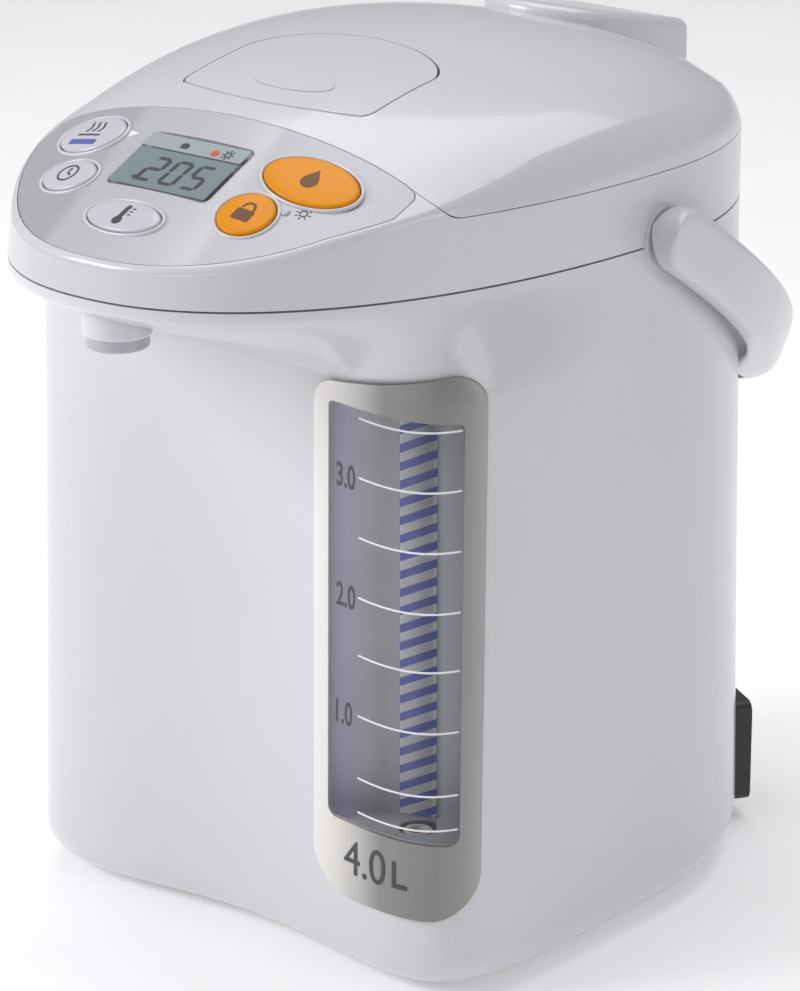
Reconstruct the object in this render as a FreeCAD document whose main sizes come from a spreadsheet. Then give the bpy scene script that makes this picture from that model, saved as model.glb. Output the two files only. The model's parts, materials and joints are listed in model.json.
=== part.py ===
import FreeCAD, Part
import math
import os
import re
import Sketcher
from FreeCAD import Placement, Rotation, Vector

# Electric thermo pot, four litres, in millimetres.
# Frame: the pot stands on z = 0 with its axis on x = y = 0. The beak with the
# spout and the control panel faces -Y, and the lid is hinged at the back, +Y.

SIZES = {
    # Plan of the case and of the beak
    "half_width": 105.0,
    "back_reach": 113.9,
    "beak_reach": 183.6,
    "beak_power": 2.19,
    "wall_reach": 116.4,
    "wall_power": 6.3,
    "wall_hollow": 11.0,
    "base_flare": 0.043,
    "base_round": 16.0,
    "case_bottom": 1.5,
    "shell_wall": 2.8,
    # Levels
    "seam_level": 251.5,
    "seam_gap": 0.5,
    "lid_level": 276.6,
    "lid_gap": 0.5,
    "lip_foot_level": 217.5,
    "lip_edge_level": 246.5,
    # Crown, the common top surface of beak and lid
    "crown_top": 313.9,
    "crown_side_radius": 347.8,
    "beak_side_radius": 256.1,
    "rim_drop": 8.7,
    "rim_power": 9.8,
    "beak_lean": 5.0,
    "lid_front": 106.5,
    "lid_wall": 2.8,
    # Control panel
    "panel_thick": 1.4,
    "panel_front": 176.0,
    "panel_back": 108.0,
    "panel_half_width": 81.0,
    "panel_gap": 0.3,
    "display_width": 46.0,
    "display_depth": 29.0,
    "display_x": -1.0,
    "display_y": -133.6,
    "button_proud": 1.0,
    "button_travel": 0.8,
    "button_height": 5.0,
    "button_gap": 0.35,
    "board_drop": 16.0,
    "board_thick": 1.6,
    "board_width": 124.0,
    "board_depth": 46.0,
    "switch_clearance": 0.35,
    # Inner pot and its mouth
    "pot_radius": 87.7,
    "pot_wall": 0.8,
    "pot_round": 2.6,
    "pot_floor": 58.0,
    "pot_rim": 269.7,
    "flange_radius": 95.0,
    "flange_thick": 1.2,
    "gasket_thick": 1.5,
    "mouth_gap": 1.0,
    "cradle_radius": 84.0,
    "cradle_wall": 2.5,
    "cradle_post_circle": 77.5,
    "cradle_post_radius": 5.5,
    "hose_gate_length": 45.0,
    "hose_gate_width": 55.0,
    "hose_gate_tall": 24.0,
    "hose_gate_x": 40.0,
    "hose_gate_y": -95.0,
    "screw_radius": 1.5,
    "screw_head_radius": 3.2,
    "heater_radius": 48.0,
    "heater_thick": 5.0,
    # Level window
    "window_left": 39.0,
    "window_bottom": 31.0,
    "window_top": 217.0,
    "window_turn": 22.0,
    "window_width": 68.5,
    "window_round": 12.0,
    "frame_thick": 1.3,
    "glass_margin": 7.5,
    "glass_bottom": 60.0,
    "glass_top": 207.0,
    "glass_gap": 0.3,
    "gauge_radius": 6.5,
    "gauge_wall": 1.2,
    "gauge_x": 74.5,
    "gauge_y": -100.0,
    "strip_width": 13.0,
    "strip_thick": 0.8,
    # Spout
    "spout_radius": 11.8,
    "spout_bore": 4.2,
    "spout_round": 1.2,
    "spout_y": -166.0,
    "spout_bottom": 231.0,
    "spout_top": 245.0,
    "spout_ring_radius": 10.8,
    "spout_ring_height": 4.3,
    "nozzle_radius": 6.9,
    "hose_radius": 5.0,
    "hose_bore": 3.4,
    # Carrying handle
    "handle_y": -5.5,
    "handle_level": 253.5,
    "handle_droop": 31.0,
    "handle_arm": 167.0,
    "handle_gap": 2.2,
    "handle_thick": 11.0,
    "handle_grip_thick": 17.0,
    "handle_width": 23.0,
    "handle_power": 2.5,
    "boss_radius": 11.5,
    "handle_pin_radius": 5.0,
    "handle_pin_gap": 0.05,
    # Lid hinge and hump
    "hinge_y": 111.0,
    "hinge_level": 285.0,
    "hinge_pin_radius": 1.8,
    "hinge_pin_gap": 0.05,
    "barrel_radius": 5.0,
    "barrel_half": 15.0,
    "lug_width": 6.5,
    "lug_gap": 0.4,
    "hump_half": 26.0,
    "hump_front": 44.0,
    "hump_back": 116.0,
    "hump_top": 311.0,
    "hump_slope": 13.0,
    # Opening lever and latch in the lid
    "lever_half": 42.0,
    "lever_front": 96.0,
    "lever_back": 35.0,
    "lever_axis_y": -50.0,
    "lever_drop": 2.6,
    "lever_pin_radius": 1.2,
    "lever_pin_length": 11.0,
    "lever_gap": 0.9,
    "lever_thick": 2.8,
    "pan_depth": 9.0,
    "bolt_half": 14.0,
    "bolt_back": 70.0,
    "bolt_thick": 4.0,
    "bolt_level": 282.0,
    # Lid inside
    "seal_radius": 86.6,
    "seal_wall": 4.0,
    "cover_radius": 81.5,
    "cover_wall": 0.9,
    # Pump, motor and electrics
    "pump_x": 0.0,
    "pump_y": -58.0,
    "pump_radius": 21.0,
    "pump_wall": 2.0,
    "pump_low": 35.0,
    "pump_high": 52.0,
    "motor_radius": 14.0,
    "motor_low": 6.5,
    "motor_tall": 21.0,
    "magnet_thick": 4.0,
    "impeller_radius": 15.0,
    "vane_tall": 5.4,
    "power_board_length": 50.0,
    "power_board_width": 46.0,
    "shaft_radius": 1.6,
    "shaft_gap": 0.05,
    "inlet_turn": 58.0,
    "inlet_width": 42.0,
    "inlet_low": 7.0,
    "inlet_high": 47.0,
    "inlet_proud": 4.0,
    "foot_radius": 9.0,
    "foot_circle_x": 70.0,
    "foot_circle_y": 68.0,
    "base_plate_thick": 3.0,
}

doc = FreeCAD.newDocument("ThermoPot")
sheet = doc.addObject("Spreadsheet::Sheet", "Sizes")
for row, (name, value) in enumerate(SIZES.items(), start=1):
    sheet.set("A%d" % row, name)
    sheet.set("B%d" % row, str(value))
    sheet.setAlias("B%d" % row, name)
doc.recompute()


class Sheet:
    """Reads the driving dimensions back out of the spreadsheet."""

    def __getattr__(self, name):
        return float(getattr(sheet, name))


mm = Sheet()
NAMES = re.compile(r"\b(" + "|".join(SIZES) + r")\b")
nodes = []


def cell(formula):
    """A formula on size names, written as an expression on the sheet."""
    return NAMES.sub(r"Sizes.\1", str(formula))


def bind(obj, **links):
    """Tie properties of an object to the sheet."""
    for prop, formula in links.items():
        obj.setExpression(prop, cell(formula))
    return obj


def place(obj, x=0, y=0, z=0, turn=None):
    """Put an object at a position written as formulas."""
    if turn is not None:
        obj.Placement = Placement(Vector(0, 0, 0), turn)
    for axis, formula in zip("xyz", (x, y, z)):
        obj.setExpression(".Placement.Base." + axis, cell(formula))
    return obj


def node(obj, name):
    """Give an object its node name and keep it for the export."""
    obj.Label = name
    nodes.append(obj)
    return obj


def feature(name, shape):
    """A sub-part whose shape is worked out here from the sheet."""
    obj = doc.addObject("Part::Feature", name)
    obj.Shape = shape
    obj.Placement = shape.Placement
    return node(obj, name)


def cylinder(name, radius, height, x=0, y=0, z=0, turn=None):
    obj = doc.addObject("Part::Cylinder", name)
    bind(obj, Radius=radius, Height=height)
    return place(obj, x, y, z, turn)


def block(name, length, width, height, x=0, y=0, z=0, turn=None):
    obj = doc.addObject("Part::Box", name)
    bind(obj, Length=length, Width=width, Height=height)
    return place(obj, x, y, z, turn)


def cut(name, base, tool):
    obj = doc.addObject("Part::Cut", name)
    obj.Base = base
    obj.Tool = tool
    return obj


def fuse(name, *pieces):
    obj = doc.addObject("Part::MultiFuse", name)
    obj.Shapes = list(pieces)
    return obj


def ring(name, outer, inner, low, high, x=0, y=0):
    """A tube on a vertical axis between two levels, turned from its section."""
    return turned(name, [(inner, low), (outer, low), (outer, high), (inner, high)], x, y)


# Sketched bodies

def origin_plane(body, role):
    """One of the three base planes of a body."""
    return [item for item in body.Origin.OriginFeatures if item.Role == role][0]


def new_sketch(body, name, plane):
    sketch = body.newObject("Sketcher::SketchObject", name)
    sketch.AttachmentSupport = [(origin_plane(body, plane), "")]
    sketch.MapMode = "FlatFace"
    return sketch


def pin_point(sketch, index, point, across, up):
    """Tie one point of a sketch to two formulas, measured from the origin."""
    for kind, formula, axis in (("DistanceX", across, -2), ("DistanceY", up, -1)):
        if str(formula) == "0":
            sketch.addConstraint(Sketcher.Constraint("PointOnObject", index, point, axis))
            continue
        row = sketch.addConstraint(Sketcher.Constraint(kind, -1, 1, index, point, 1.0))
        sketch.setExpression("Constraints[%d]" % row, cell(formula))


def draw_profile(body, name, points, plane="XZ_Plane"):
    """A closed sketch of straight lines with every corner tied to the sheet."""
    sketch = new_sketch(body, name, plane)
    count = len(points)
    spots = [Vector(20 + 9 * math.cos(2 * math.pi * i / count), 20 + 9 * math.sin(2 * math.pi * i / count), 0)
             for i in range(count)]
    for i in range(count):
        sketch.addGeometry(Part.LineSegment(spots[i], spots[(i + 1) % count]), False)
    for i in range(count):
        sketch.addConstraint(Sketcher.Constraint("Coincident", i, 2, (i + 1) % count, 1))
    for i, (across, up) in enumerate(points):
        pin_point(sketch, i, 1, across, up)
    return sketch


def draw_circle(body, name, radius, across=0, up=0, plane="XY_Plane"):
    """A sketch of one circle whose radius and centre are tied to the sheet."""
    sketch = new_sketch(body, name, plane)
    sketch.addGeometry(Part.Circle(Vector(1, 1, 0), Vector(0, 0, 1), 2.0), False)
    row = sketch.addConstraint(Sketcher.Constraint("Radius", 0, 2.0))
    sketch.setExpression("Constraints[%d]" % row, cell(radius))
    pin_point(sketch, 0, 3, across, up)
    return sketch


def turned(name, points, x=0, y=0):
    """A body turned about a vertical axis from a half section (radius, level)."""
    body = doc.addObject("PartDesign::Body", name)
    sketch = draw_profile(body, name + "_section", points)
    turn = body.newObject("PartDesign::Revolution", name + "_turn")
    turn.Profile = sketch
    turn.ReferenceAxis = (sketch, ["V_Axis"])
    turn.Angle = 360.0
    return place(body, x, y, 0)


def pad(body, name, sketch, length, both_ways=False):
    """Raise a sketch of a body by a length."""
    raised = body.newObject("PartDesign::Pad", name)
    raised.Profile = sketch
    raised.Midplane = both_ways
    return bind(raised, Length=length)


def drill(body, name, sketch, upwards=True):
    """Cut a sketch of a body right through it."""
    hole = body.newObject("PartDesign::Pocket", name)
    hole.Profile = sketch
    hole.Type = "ThroughAll"
    hole.Reversed = upwards
    return hole


def round_rims(body, name, radius, rims):
    """Round the circular edges of a turned body that lie at (radius, level)."""
    doc.recompute()
    tip = body.Tip
    picked = []
    for number, edge in enumerate(tip.Shape.Edges, start=1):
        box = edge.BoundBox
        for reach, level in rims:
            flat = box.ZLength < 0.001 and abs(box.ZMin - level) < 0.001
            if flat and abs(0.5 * box.XLength - reach) < 0.01:
                picked.append("Edge%d" % number)
    rounding = body.newObject("PartDesign::Fillet", name)
    rounding.Base = (tip, picked)
    bind(rounding, Radius=radius)
    return rounding


# Plan outlines and the crown surface, from formulas

def reach_at(turn, half_width, front, back, power):
    """Distance from the axis to a superellipse in one direction."""
    depth, exponent = (back, 2.0) if math.sin(turn) >= 0 else (front, power)
    across = abs(math.cos(turn)) / half_width
    along = abs(math.sin(turn)) / depth
    return (across ** exponent + along ** exponent) ** (-1.0 / exponent)


def beak_point(turn, inset=0.0):
    """Plan point of the seam outline, with the rounded beak in front."""
    reach = reach_at(turn, mm.half_width - inset, mm.beak_reach - inset,
                     mm.back_reach - inset, mm.beak_power)
    return Vector(reach * math.cos(turn), reach * math.sin(turn), 0)


def case_point(turn, level, inset=0.0):
    """Plan point of the case wall, flat and slightly hollow in front."""
    flare = 1.0 + mm.base_flare * (1.0 - level / mm.seam_level)
    half_width = mm.half_width * flare - inset
    front = mm.wall_reach * flare - inset
    reach = reach_at(turn, half_width, front, mm.back_reach * flare - inset, mm.wall_power)
    x = reach * math.cos(turn)
    y = reach * math.sin(turn)
    if y < 0:
        middle = math.cos(0.5 * math.pi * max(-1.0, min(1.0, x / half_width)))
        y += mm.wall_hollow * (-y / front) ** 6 * middle ** 2
    return Vector(x, y, 0)


def outline(points):
    """A closed smooth wire through points."""
    curve = Part.BSplineCurve()
    curve.interpolate(Points=points, PeriodicFlag=True)
    return Part.Wire([curve.toShape()])


LIP_STEPS = 6
LIP_SHARE = 0.985
SIDE_TURNS = (-90, -74, -64, -57, -51, -46, -40, -33, -24, -12, 6, 26, 46, 68)
TURNS = [math.radians(turn) for turn in SIDE_TURNS]
TURNS += [math.pi / 2]
TURNS += [math.pi - turn for turn in reversed(TURNS[1:-1])]


def section(level, share=0.0, inset=0.0):
    """Case outline at a level, blended towards the beak outline by a share."""
    points = []
    for turn in TURNS:
        wall = case_point(turn, level, inset)
        beak = beak_point(turn, inset)
        point = wall + (beak - wall) * share
        points.append(Vector(point.x, point.y, level))
    return outline(points)


def case_solid(inset, low, high):
    """The case as a ruled loft, smaller by an inset, between two levels."""
    corner = mm.base_round - inset
    sections = []
    for degrees in (90, 72, 54, 36, 18, 0):
        lean = math.radians(degrees)
        tuck = corner * (1.0 - math.cos(lean))
        level = low + corner * (1.0 - math.sin(lean))
        sections.append(section(level, 0.0, inset + tuck))
    foot = mm.lip_foot_level + 0.8 * inset
    edge = mm.lip_edge_level + 0.5 * inset
    for step in range(LIP_STEPS + 1):
        rise = step / LIP_STEPS
        share = 0.5 * rise + 0.5 * rise * rise * (3.0 - 2.0 * rise)
        sections.append(section(foot + (edge - foot) * rise, LIP_SHARE * share, inset))
    sections.append(section(high, 1.0, inset))
    return Part.makeLoft(sections, True, True)


CROWN_POINTS = ((-183, 51.3), (-150, 35.8), (-110, 17.0), (-55, 3.6), (0, 0.0), (55, 7.4), (114, 32.8))


def crown_middle():
    """The crown's profile along the middle, as a smooth curve."""
    curve = Part.BSplineCurve()
    curve.interpolate([Vector(y, mm.crown_top - drop, 0) for y, drop in CROWN_POINTS])
    return curve


MIDDLE = crown_middle()
MIDDLE_SAMPLES = [MIDDLE.value(MIDDLE.LastParameter * step / 400) for step in range(401)]


def middle_level(y):
    """Height of the crown's middle line at y."""
    if y <= MIDDLE_SAMPLES[0].x:
        first, second = MIDDLE_SAMPLES[0], MIDDLE_SAMPLES[4]
        return first.y + (y - first.x) * (second.y - first.y) / (second.x - first.x)
    for first, second in zip(MIDDLE_SAMPLES, MIDDLE_SAMPLES[1:]):
        if y <= second.x:
            return first.y + (y - first.x) * (second.y - first.y) / (second.x - first.x)
    first, second = MIDDLE_SAMPLES[-5], MIDDLE_SAMPLES[-1]
    return second.y + (y - second.x) * (second.y - first.y) / (second.x - first.x)


def crown_level(x, y):
    """Height of the crown's top surface."""
    share = max(0.0, min(1.0, (y + 150.0) / 200.0))
    side_radius = mm.beak_side_radius + (mm.crown_side_radius - mm.beak_side_radius) * share
    turn = math.atan2(y, x)
    rim = math.hypot(x, y) / beak_point(turn).Length
    blend = max(0.0, min(1.0, (y + 140.0) / 60.0))
    return middle_level(y) - x * x / (2.0 * side_radius) - mm.rim_drop * min(rim, 1.03) ** mm.rim_power * blend


def crown_under(drop, depth=150.0):
    """Everything below the crown surface lowered by a drop."""
    half = (112, 103, 92, 76, 52, 26)
    across = [-x for x in half] + [0] + list(reversed(half))
    columns = []
    for y in (-192, -168, -142, -110, -75, -35, 5, 42, 68, 88, 103, 120):
        columns.append([Vector(x, y, crown_level(x, y) - drop) for x in across])
    surface = Part.BSplineSurface()
    surface.interpolate(columns)
    return surface.toShape().extrude(Vector(0, 0, -depth))


def crown_prism(low, high, inset=0.0):
    """The upper body in plan, leaning in towards the top at the beak."""
    wires = []
    for level in (low, high):
        lean = mm.beak_lean * (level - mm.seam_level) / (mm.lid_level - mm.seam_level)
        points = []
        for turn in TURNS:
            point = beak_point(turn, inset)
            ahead = max(0.0, -math.sin(turn)) ** 2
            point.y += lean * ahead
            points.append(Vector(point.x, point.y, level))
        wires.append(outline(points))
    return Part.makeLoft(wires, True, True)


def prism(wire, low, high):
    """A flat wire raised between two levels."""
    moved = wire.copy()
    moved.translate(Vector(0, 0, low))
    return Part.Face(moved).extrude(Vector(0, 0, high - low))


def crown_normal(x, y):
    step = 0.5
    slope_x = (crown_level(x + step, y) - crown_level(x - step, y)) / (2 * step)
    slope_y = (crown_level(x, y + step) - crown_level(x, y - step)) / (2 * step)
    normal = Vector(-slope_x, -slope_y, 1)
    normal.normalize()
    return normal


def on_crown(x, y, lift=0.0):
    """Placement on the crown: its own Z along the surface normal."""
    normal = crown_normal(x, y)
    across = Vector(1, 0, 0) - normal * normal.x
    across.normalize()
    along = normal.cross(across)
    turn = Rotation(across, along, normal, "ZXY")
    return Placement(Vector(x, y, crown_level(x, y)) + normal * lift, turn)


def box_between(low, high):
    size = [high[i] - low[i] for i in range(3)]
    return Part.makeBox(size[0], size[1], size[2], Vector(*low))


# Shared shapes

TOP = 340.0
CROWN = crown_under(0.0)
CROWN_LID_INSIDE = crown_under(mm.lid_wall)
OUTER = crown_prism(mm.seam_level, TOP)
INSIDE = crown_prism(mm.seam_level - 60.0, TOP, mm.shell_wall)


def lid_region(gap):
    """Space above the side gap and behind the front joint of the lid."""
    front = -mm.lid_front - gap
    low = mm.lid_level + mm.lid_gap - gap
    profile = Part.makePolygon([
        Vector(-120, front + 0.02, low),
        Vector(-120, 130, low),
        Vector(-120, 130, TOP),
        Vector(-120, front, TOP),
        Vector(-120, front + 0.02, low),
    ])
    return Part.Face(profile).extrude(Vector(240, 0, 0))


def lever_outline(grow):
    """Plan of the opening lever: bowed front, straight sides, round back."""
    half = mm.lever_half + grow
    front = -mm.lever_front - grow
    back = -mm.lever_back + grow
    side_front = front + 11.0
    side_back = back - 20.0
    rear = Part.Arc(Vector(half, side_back, 0), Vector(0, back, 0), Vector(-half, side_back, 0))
    bow = Part.Arc(Vector(-half + 6, side_front - 5, 0), Vector(0, front, 0),
                   Vector(half - 6, side_front - 5, 0))
    left = Part.Arc(Vector(-half, side_front + 6, 0), Vector(-half + 1.6, side_front - 1.6, 0),
                    Vector(-half + 6, side_front - 5, 0))
    right = Part.Arc(Vector(half - 6, side_front - 5, 0), Vector(half - 1.6, side_front - 1.6, 0),
                     Vector(half, side_front + 6, 0))
    left_side = Part.LineSegment(Vector(-half, side_back, 0), Vector(-half, side_front + 6, 0))
    right_side = Part.LineSegment(Vector(half, side_front + 6, 0), Vector(half, side_back, 0))
    pieces = (rear, left_side, left, bow, right, right_side)
    return Part.Wire([piece.toShape() for piece in pieces])


def panel_outline(grow):
    """Leaf-shaped plan of the control panel: flat back edge, round front."""
    half = mm.panel_half_width + grow
    back = -mm.panel_back + grow
    front = -mm.panel_front - grow
    rear = Part.Arc(Vector(-half, back + 1.0, 0), Vector(0, back - 1.0, 0),
                    Vector(half, back + 1.0, 0))
    curve = Part.BSplineCurve()
    points = []
    for step in range(13):
        turn = math.pi * step / 12
        x = half * math.cos(turn)
        depth = math.sin(turn) ** 0.92
        points.append(Vector(x, back + 1.0 + (front - back - 1.0) * depth, 0))
    curve.interpolate(points)
    return Part.Wire([rear.toShape(), curve.toShape()])


def rounded_plate(width, depth, corner, low, high):
    """A flat plate with round corners, centred on its own origin."""
    plate = box_between((-width / 2, -depth / 2, low), (width / 2, depth / 2, high))
    edges = [edge for edge in plate.Edges
             if abs(edge.Vertexes[0].X - edge.Vertexes[-1].X) < 1e-6
             and abs(edge.Vertexes[0].Y - edge.Vertexes[-1].Y) < 1e-6]
    return plate.makeFillet(corner, edges)


LAMP_SPOT = (50.0, -138.0)
BUTTONS = {
    "button_dispense": (49.0, -124.0, 36.5, 21.0),
    "button_unlock": (38.8, -144.7, 20.0, 20.0),
    "button_reboil": (-50.8, -123.0, 29.0, 20.0),
    "button_timer": (-41.6, -144.3, 23.0, 16.0),
    "button_temp_set": (-1.6, -160.0, 31.0, 15.0),
}


def oval(width, depth, low, high, grow=0.0):
    """An oval disc of four tangent arcs, centred on its own origin."""
    wide = width / 2 + grow
    deep = depth / 2 + grow
    if wide < deep + 0.01:
        return Part.makeCylinder(wide, high - low, Vector(0, 0, low))
    small = 1.15 * deep * deep / wide
    shift = ((wide - small) ** 2 - (deep - small) ** 2) / (2 * (deep - small))
    lean = math.atan2(shift, wide - small)
    touch_x = wide - small + small * math.cos(lean)
    touch_y = small * math.sin(lean)
    arcs = [
        Part.Arc(Vector(touch_x, -touch_y, 0), Vector(wide, 0, 0), Vector(touch_x, touch_y, 0)),
        Part.Arc(Vector(touch_x, touch_y, 0), Vector(0, deep, 0), Vector(-touch_x, touch_y, 0)),
        Part.Arc(Vector(-touch_x, touch_y, 0), Vector(-wide, 0, 0), Vector(-touch_x, -touch_y, 0)),
        Part.Arc(Vector(-touch_x, -touch_y, 0), Vector(0, -deep, 0), Vector(touch_x, -touch_y, 0)),
    ]
    return prism(Part.Wire([arc.toShape() for arc in arcs]), low, high)


def placed(shape, placement):
    moved = shape.copy()
    moved.Placement = placement
    return moved


def board_placement():
    """The control board lies parallel to the middle of the panel."""
    return on_crown(0.0, BOARD_Y, -mm.board_drop)


BOARD_Y = -138.0
BOARD_POSTS = ((-28.5, 18.0), (26.5, 18.0), (-24.0, -19.5), (24.0, -19.5))


def build_collar():
    """Upper collar with the beak: outer wall, deck round the mouth, panel seat."""
    shell = OUTER.common(CROWN)
    shell = shell.cut(lid_region(mm.lid_gap * 2))
    room = INSIDE.common(crown_under(mm.shell_wall + mm.panel_thick))
    deck_low = mm.pot_rim + mm.gasket_thick
    room = room.cut(box_between((-120, -mm.lid_front + 1.0 - mm.shell_wall, deck_low), (120, 130, TOP)))
    shell = shell.cut(room)
    mouth = Part.makeCylinder(mm.pot_radius + mm.mouth_gap, 80, Vector(0, 0, mm.seam_level - 5))
    shell = shell.cut(mouth)
    seat = prism(panel_outline(mm.panel_gap), mm.seam_level, TOP)
    seat = seat.cut(crown_under(mm.panel_thick))
    shell = shell.cut(seat)
    display = rounded_plate(mm.display_width + 1.0, mm.display_depth + 1.0, 3.0, -12, 4)
    shell = shell.cut(placed(display, on_crown(mm.display_x, mm.display_y)))
    for x, y, wide, deep in BUTTONS.values():
        hole = oval(wide, deep, -14, 4, mm.button_gap)
        shell = shell.cut(placed(hole, on_crown(x, y)))
    striker = box_between((-mm.bolt_half - 1, -mm.lid_front - 9.0, mm.bolt_level - 1.0),
                          (mm.bolt_half + 1, -mm.lid_front + 2, mm.bolt_level + mm.bolt_thick + 1.0))
    shell = shell.cut(striker)
    lamp = Part.makeCylinder(1.6, 16, Vector(0, 0, -8))
    shell = shell.cut(placed(lamp, on_crown(*LAMP_SPOT)))
    for x, y in BOARD_POSTS:
        post = Part.makeCylinder(2.5, 14.0, Vector(x, y, mm.board_thick))
        shell = shell.fuse(placed(post, board_placement()).common(crown_under(2.6)))
    for side in (-1, 1):
        shell = shell.fuse(handle_boss(side))
        shell = shell.fuse(hinge_lug(side))
    shell = shell.cut(Part.makeCylinder(mm.hinge_pin_radius, 80,
                                        Vector(-40, mm.hinge_y, mm.hinge_level), Vector(1, 0, 0)))
    return shell


def handle_boss(side):
    """Round boss with the pivot pin that carries one arm of the handle."""
    start = mm.half_width - 8.0
    face = mm.half_width + mm.handle_gap - 0.4
    boss = Part.makeCylinder(mm.boss_radius, face - start,
                             Vector(side * start, mm.handle_y, mm.handle_level), Vector(side, 0, 0))
    pin = Part.makeCylinder(mm.handle_pin_radius, mm.handle_thick - 2.5 + 0.4,
                            Vector(side * face, mm.handle_y, mm.handle_level), Vector(side, 0, 0))
    return boss.fuse(pin)


def hinge_lug(side):
    """Lug on the collar that holds one end of the hinge pin."""
    near = mm.barrel_half + mm.lug_gap
    low = mm.lid_level - 6.0
    x = near if side > 0 else -near - mm.lug_width
    eye = Part.makeCylinder(mm.barrel_radius, mm.lug_width, Vector(x, mm.hinge_y, mm.hinge_level),
                            Vector(1, 0, 0))
    web = box_between((x, mm.hinge_y - mm.barrel_radius, low),
                      (x + mm.lug_width, mm.hinge_y + 2.0, mm.hinge_level))
    return eye.fuse(web)


def build_lid():
    """Domed lid cover with the sunken pan of the opening lever."""
    whole = OUTER.common(CROWN).common(lid_region(0.0))
    inside = crown_prism(mm.seam_level, TOP, mm.lid_wall).common(CROWN_LID_INSIDE)
    front = box_between((-130, -200, 0), (130, -mm.lid_front + mm.lid_wall, TOP))
    inside = inside.cut(front)
    shell = whole.cut(inside)
    pan = prism(lever_outline(mm.lever_gap + mm.lid_wall), mm.lid_level, TOP)
    pan = pan.common(CROWN).cut(crown_under(mm.pan_depth + mm.lid_wall))
    shell = shell.fuse(pan)
    sunk = prism(lever_outline(mm.lever_gap), mm.lid_level, TOP).cut(crown_under(mm.pan_depth))
    shell = shell.cut(sunk)
    shell = shell.fuse(build_hump())
    shell = shell.cut(hump_slots())
    window = box_between((-mm.bolt_half - 0.5, -mm.lid_front - 2, mm.bolt_level - 0.4),
                         (mm.bolt_half + 0.5, -mm.lid_front + 5, mm.bolt_level + mm.bolt_thick + 0.4))
    shell = shell.cut(window)
    barrel = Part.makeCylinder(mm.barrel_radius, 2 * mm.barrel_half,
                               Vector(-mm.barrel_half, mm.hinge_y, mm.hinge_level), Vector(1, 0, 0))
    shell = shell.fuse(barrel)
    shell = shell.cut(Part.makeCylinder(mm.hinge_pin_radius + mm.hinge_pin_gap, 80,
                                        Vector(-40, mm.hinge_y, mm.hinge_level), Vector(1, 0, 0)))
    for side in (-1, 1):
        hole = lever_pin_shape(side, mm.lever_pin_radius)
        shell = shell.cut(hole)
    return shell


def hump_wire():
    """Plan of the hump over the hinge: round nose in front, square back."""
    half = mm.hump_half
    nose = Part.Arc(Vector(-half, mm.hump_front + 20, 0), Vector(0, mm.hump_front, 0),
                    Vector(half, mm.hump_front + 20, 0))
    right = Part.LineSegment(Vector(half, mm.hump_front + 20, 0), Vector(half, mm.hump_back, 0))
    back = Part.LineSegment(Vector(half, mm.hump_back, 0), Vector(-half, mm.hump_back, 0))
    left = Part.LineSegment(Vector(-half, mm.hump_back, 0), Vector(-half, mm.hump_front + 20, 0))
    return Part.Wire([piece.toShape() for piece in (nose, right, back, left)])


def build_hump():
    """Raised cover over the hinge, with a plane top that falls to the back."""
    slab = prism(hump_wire(), mm.hinge_level - 4.0, TOP)
    slope = Part.Face(Part.makePolygon([
        Vector(-60, mm.hump_front - 10, 240),
        Vector(-60, mm.hump_back + 10, 240),
        Vector(-60, mm.hump_back + 10, mm.hump_top - mm.hump_slope),
        Vector(-60, mm.hump_front + 12, mm.hump_top),
        Vector(-60, mm.hump_front - 10, mm.hump_top + 1.0),
        Vector(-60, mm.hump_front - 10, 240),
    ])).extrude(Vector(120, 0, 0))
    hump = slab.common(slope)
    top_edges = [edge for edge in hump.Edges
                 if abs(edge.BoundBox.XLength) < 0.01 and edge.BoundBox.YLength > 40
                 and edge.BoundBox.ZMin > mm.hump_top - mm.hump_slope - 1]
    hump = hump.makeFillet(2.5, top_edges)
    lid_inside = crown_under(mm.lid_wall).common(box_between((-40, 0, 0), (40, 108, TOP)))
    return hump.cut(lid_inside.common(crown_prism(mm.seam_level, TOP, mm.lid_wall)))


def hump_slots():
    """Room for the two lugs of the collar under the hump."""
    slots = []
    roof = mm.hinge_level + mm.barrel_radius + 1.6
    for side in (-1, 1):
        near = mm.barrel_half
        far = mm.barrel_half + mm.lug_width + 2 * mm.lug_gap
        x0, x1 = (near, far) if side > 0 else (-far, -near)
        slots.append(box_between((x0, mm.hinge_y - 13, mm.lid_level - 10), (x1, mm.hinge_y + 20, roof)))
    under = box_between((-mm.barrel_half - 1, mm.hinge_y - 13, mm.lid_level - 10),
                        (mm.barrel_half + 1, mm.hinge_y + 20, mm.hinge_level - mm.barrel_radius))
    return slots[0].fuse(slots[1]).fuse(under)


def lever_pin_shape(side, radius):
    level = crown_level(0, mm.lever_axis_y) - mm.lever_drop
    start = mm.lever_half - 11.0
    return Part.makeCylinder(radius, mm.lever_pin_length, Vector(side * start, mm.lever_axis_y, level),
                             Vector(side, 0, 0))


def build_lever():
    """Opening lever: a plate of the crown's curve with a knuckle at the back."""
    plate = prism(lever_outline(0.0), mm.lid_level, TOP).common(CROWN)
    plate = plate.cut(crown_under(mm.lever_thick))
    level = crown_level(0, mm.lever_axis_y) - mm.lever_drop
    half = mm.lever_half - 6.0
    knuckle = Part.makeCylinder(2.1, 2 * half, Vector(-half, mm.lever_axis_y, level), Vector(1, 0, 0))
    knuckle = knuckle.common(crown_under(1.0))
    plate = plate.fuse(knuckle)
    for side in (-1, 1):
        plate = plate.cut(lever_pin_shape(side, mm.lever_pin_radius + 0.05))
    return plate


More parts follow.
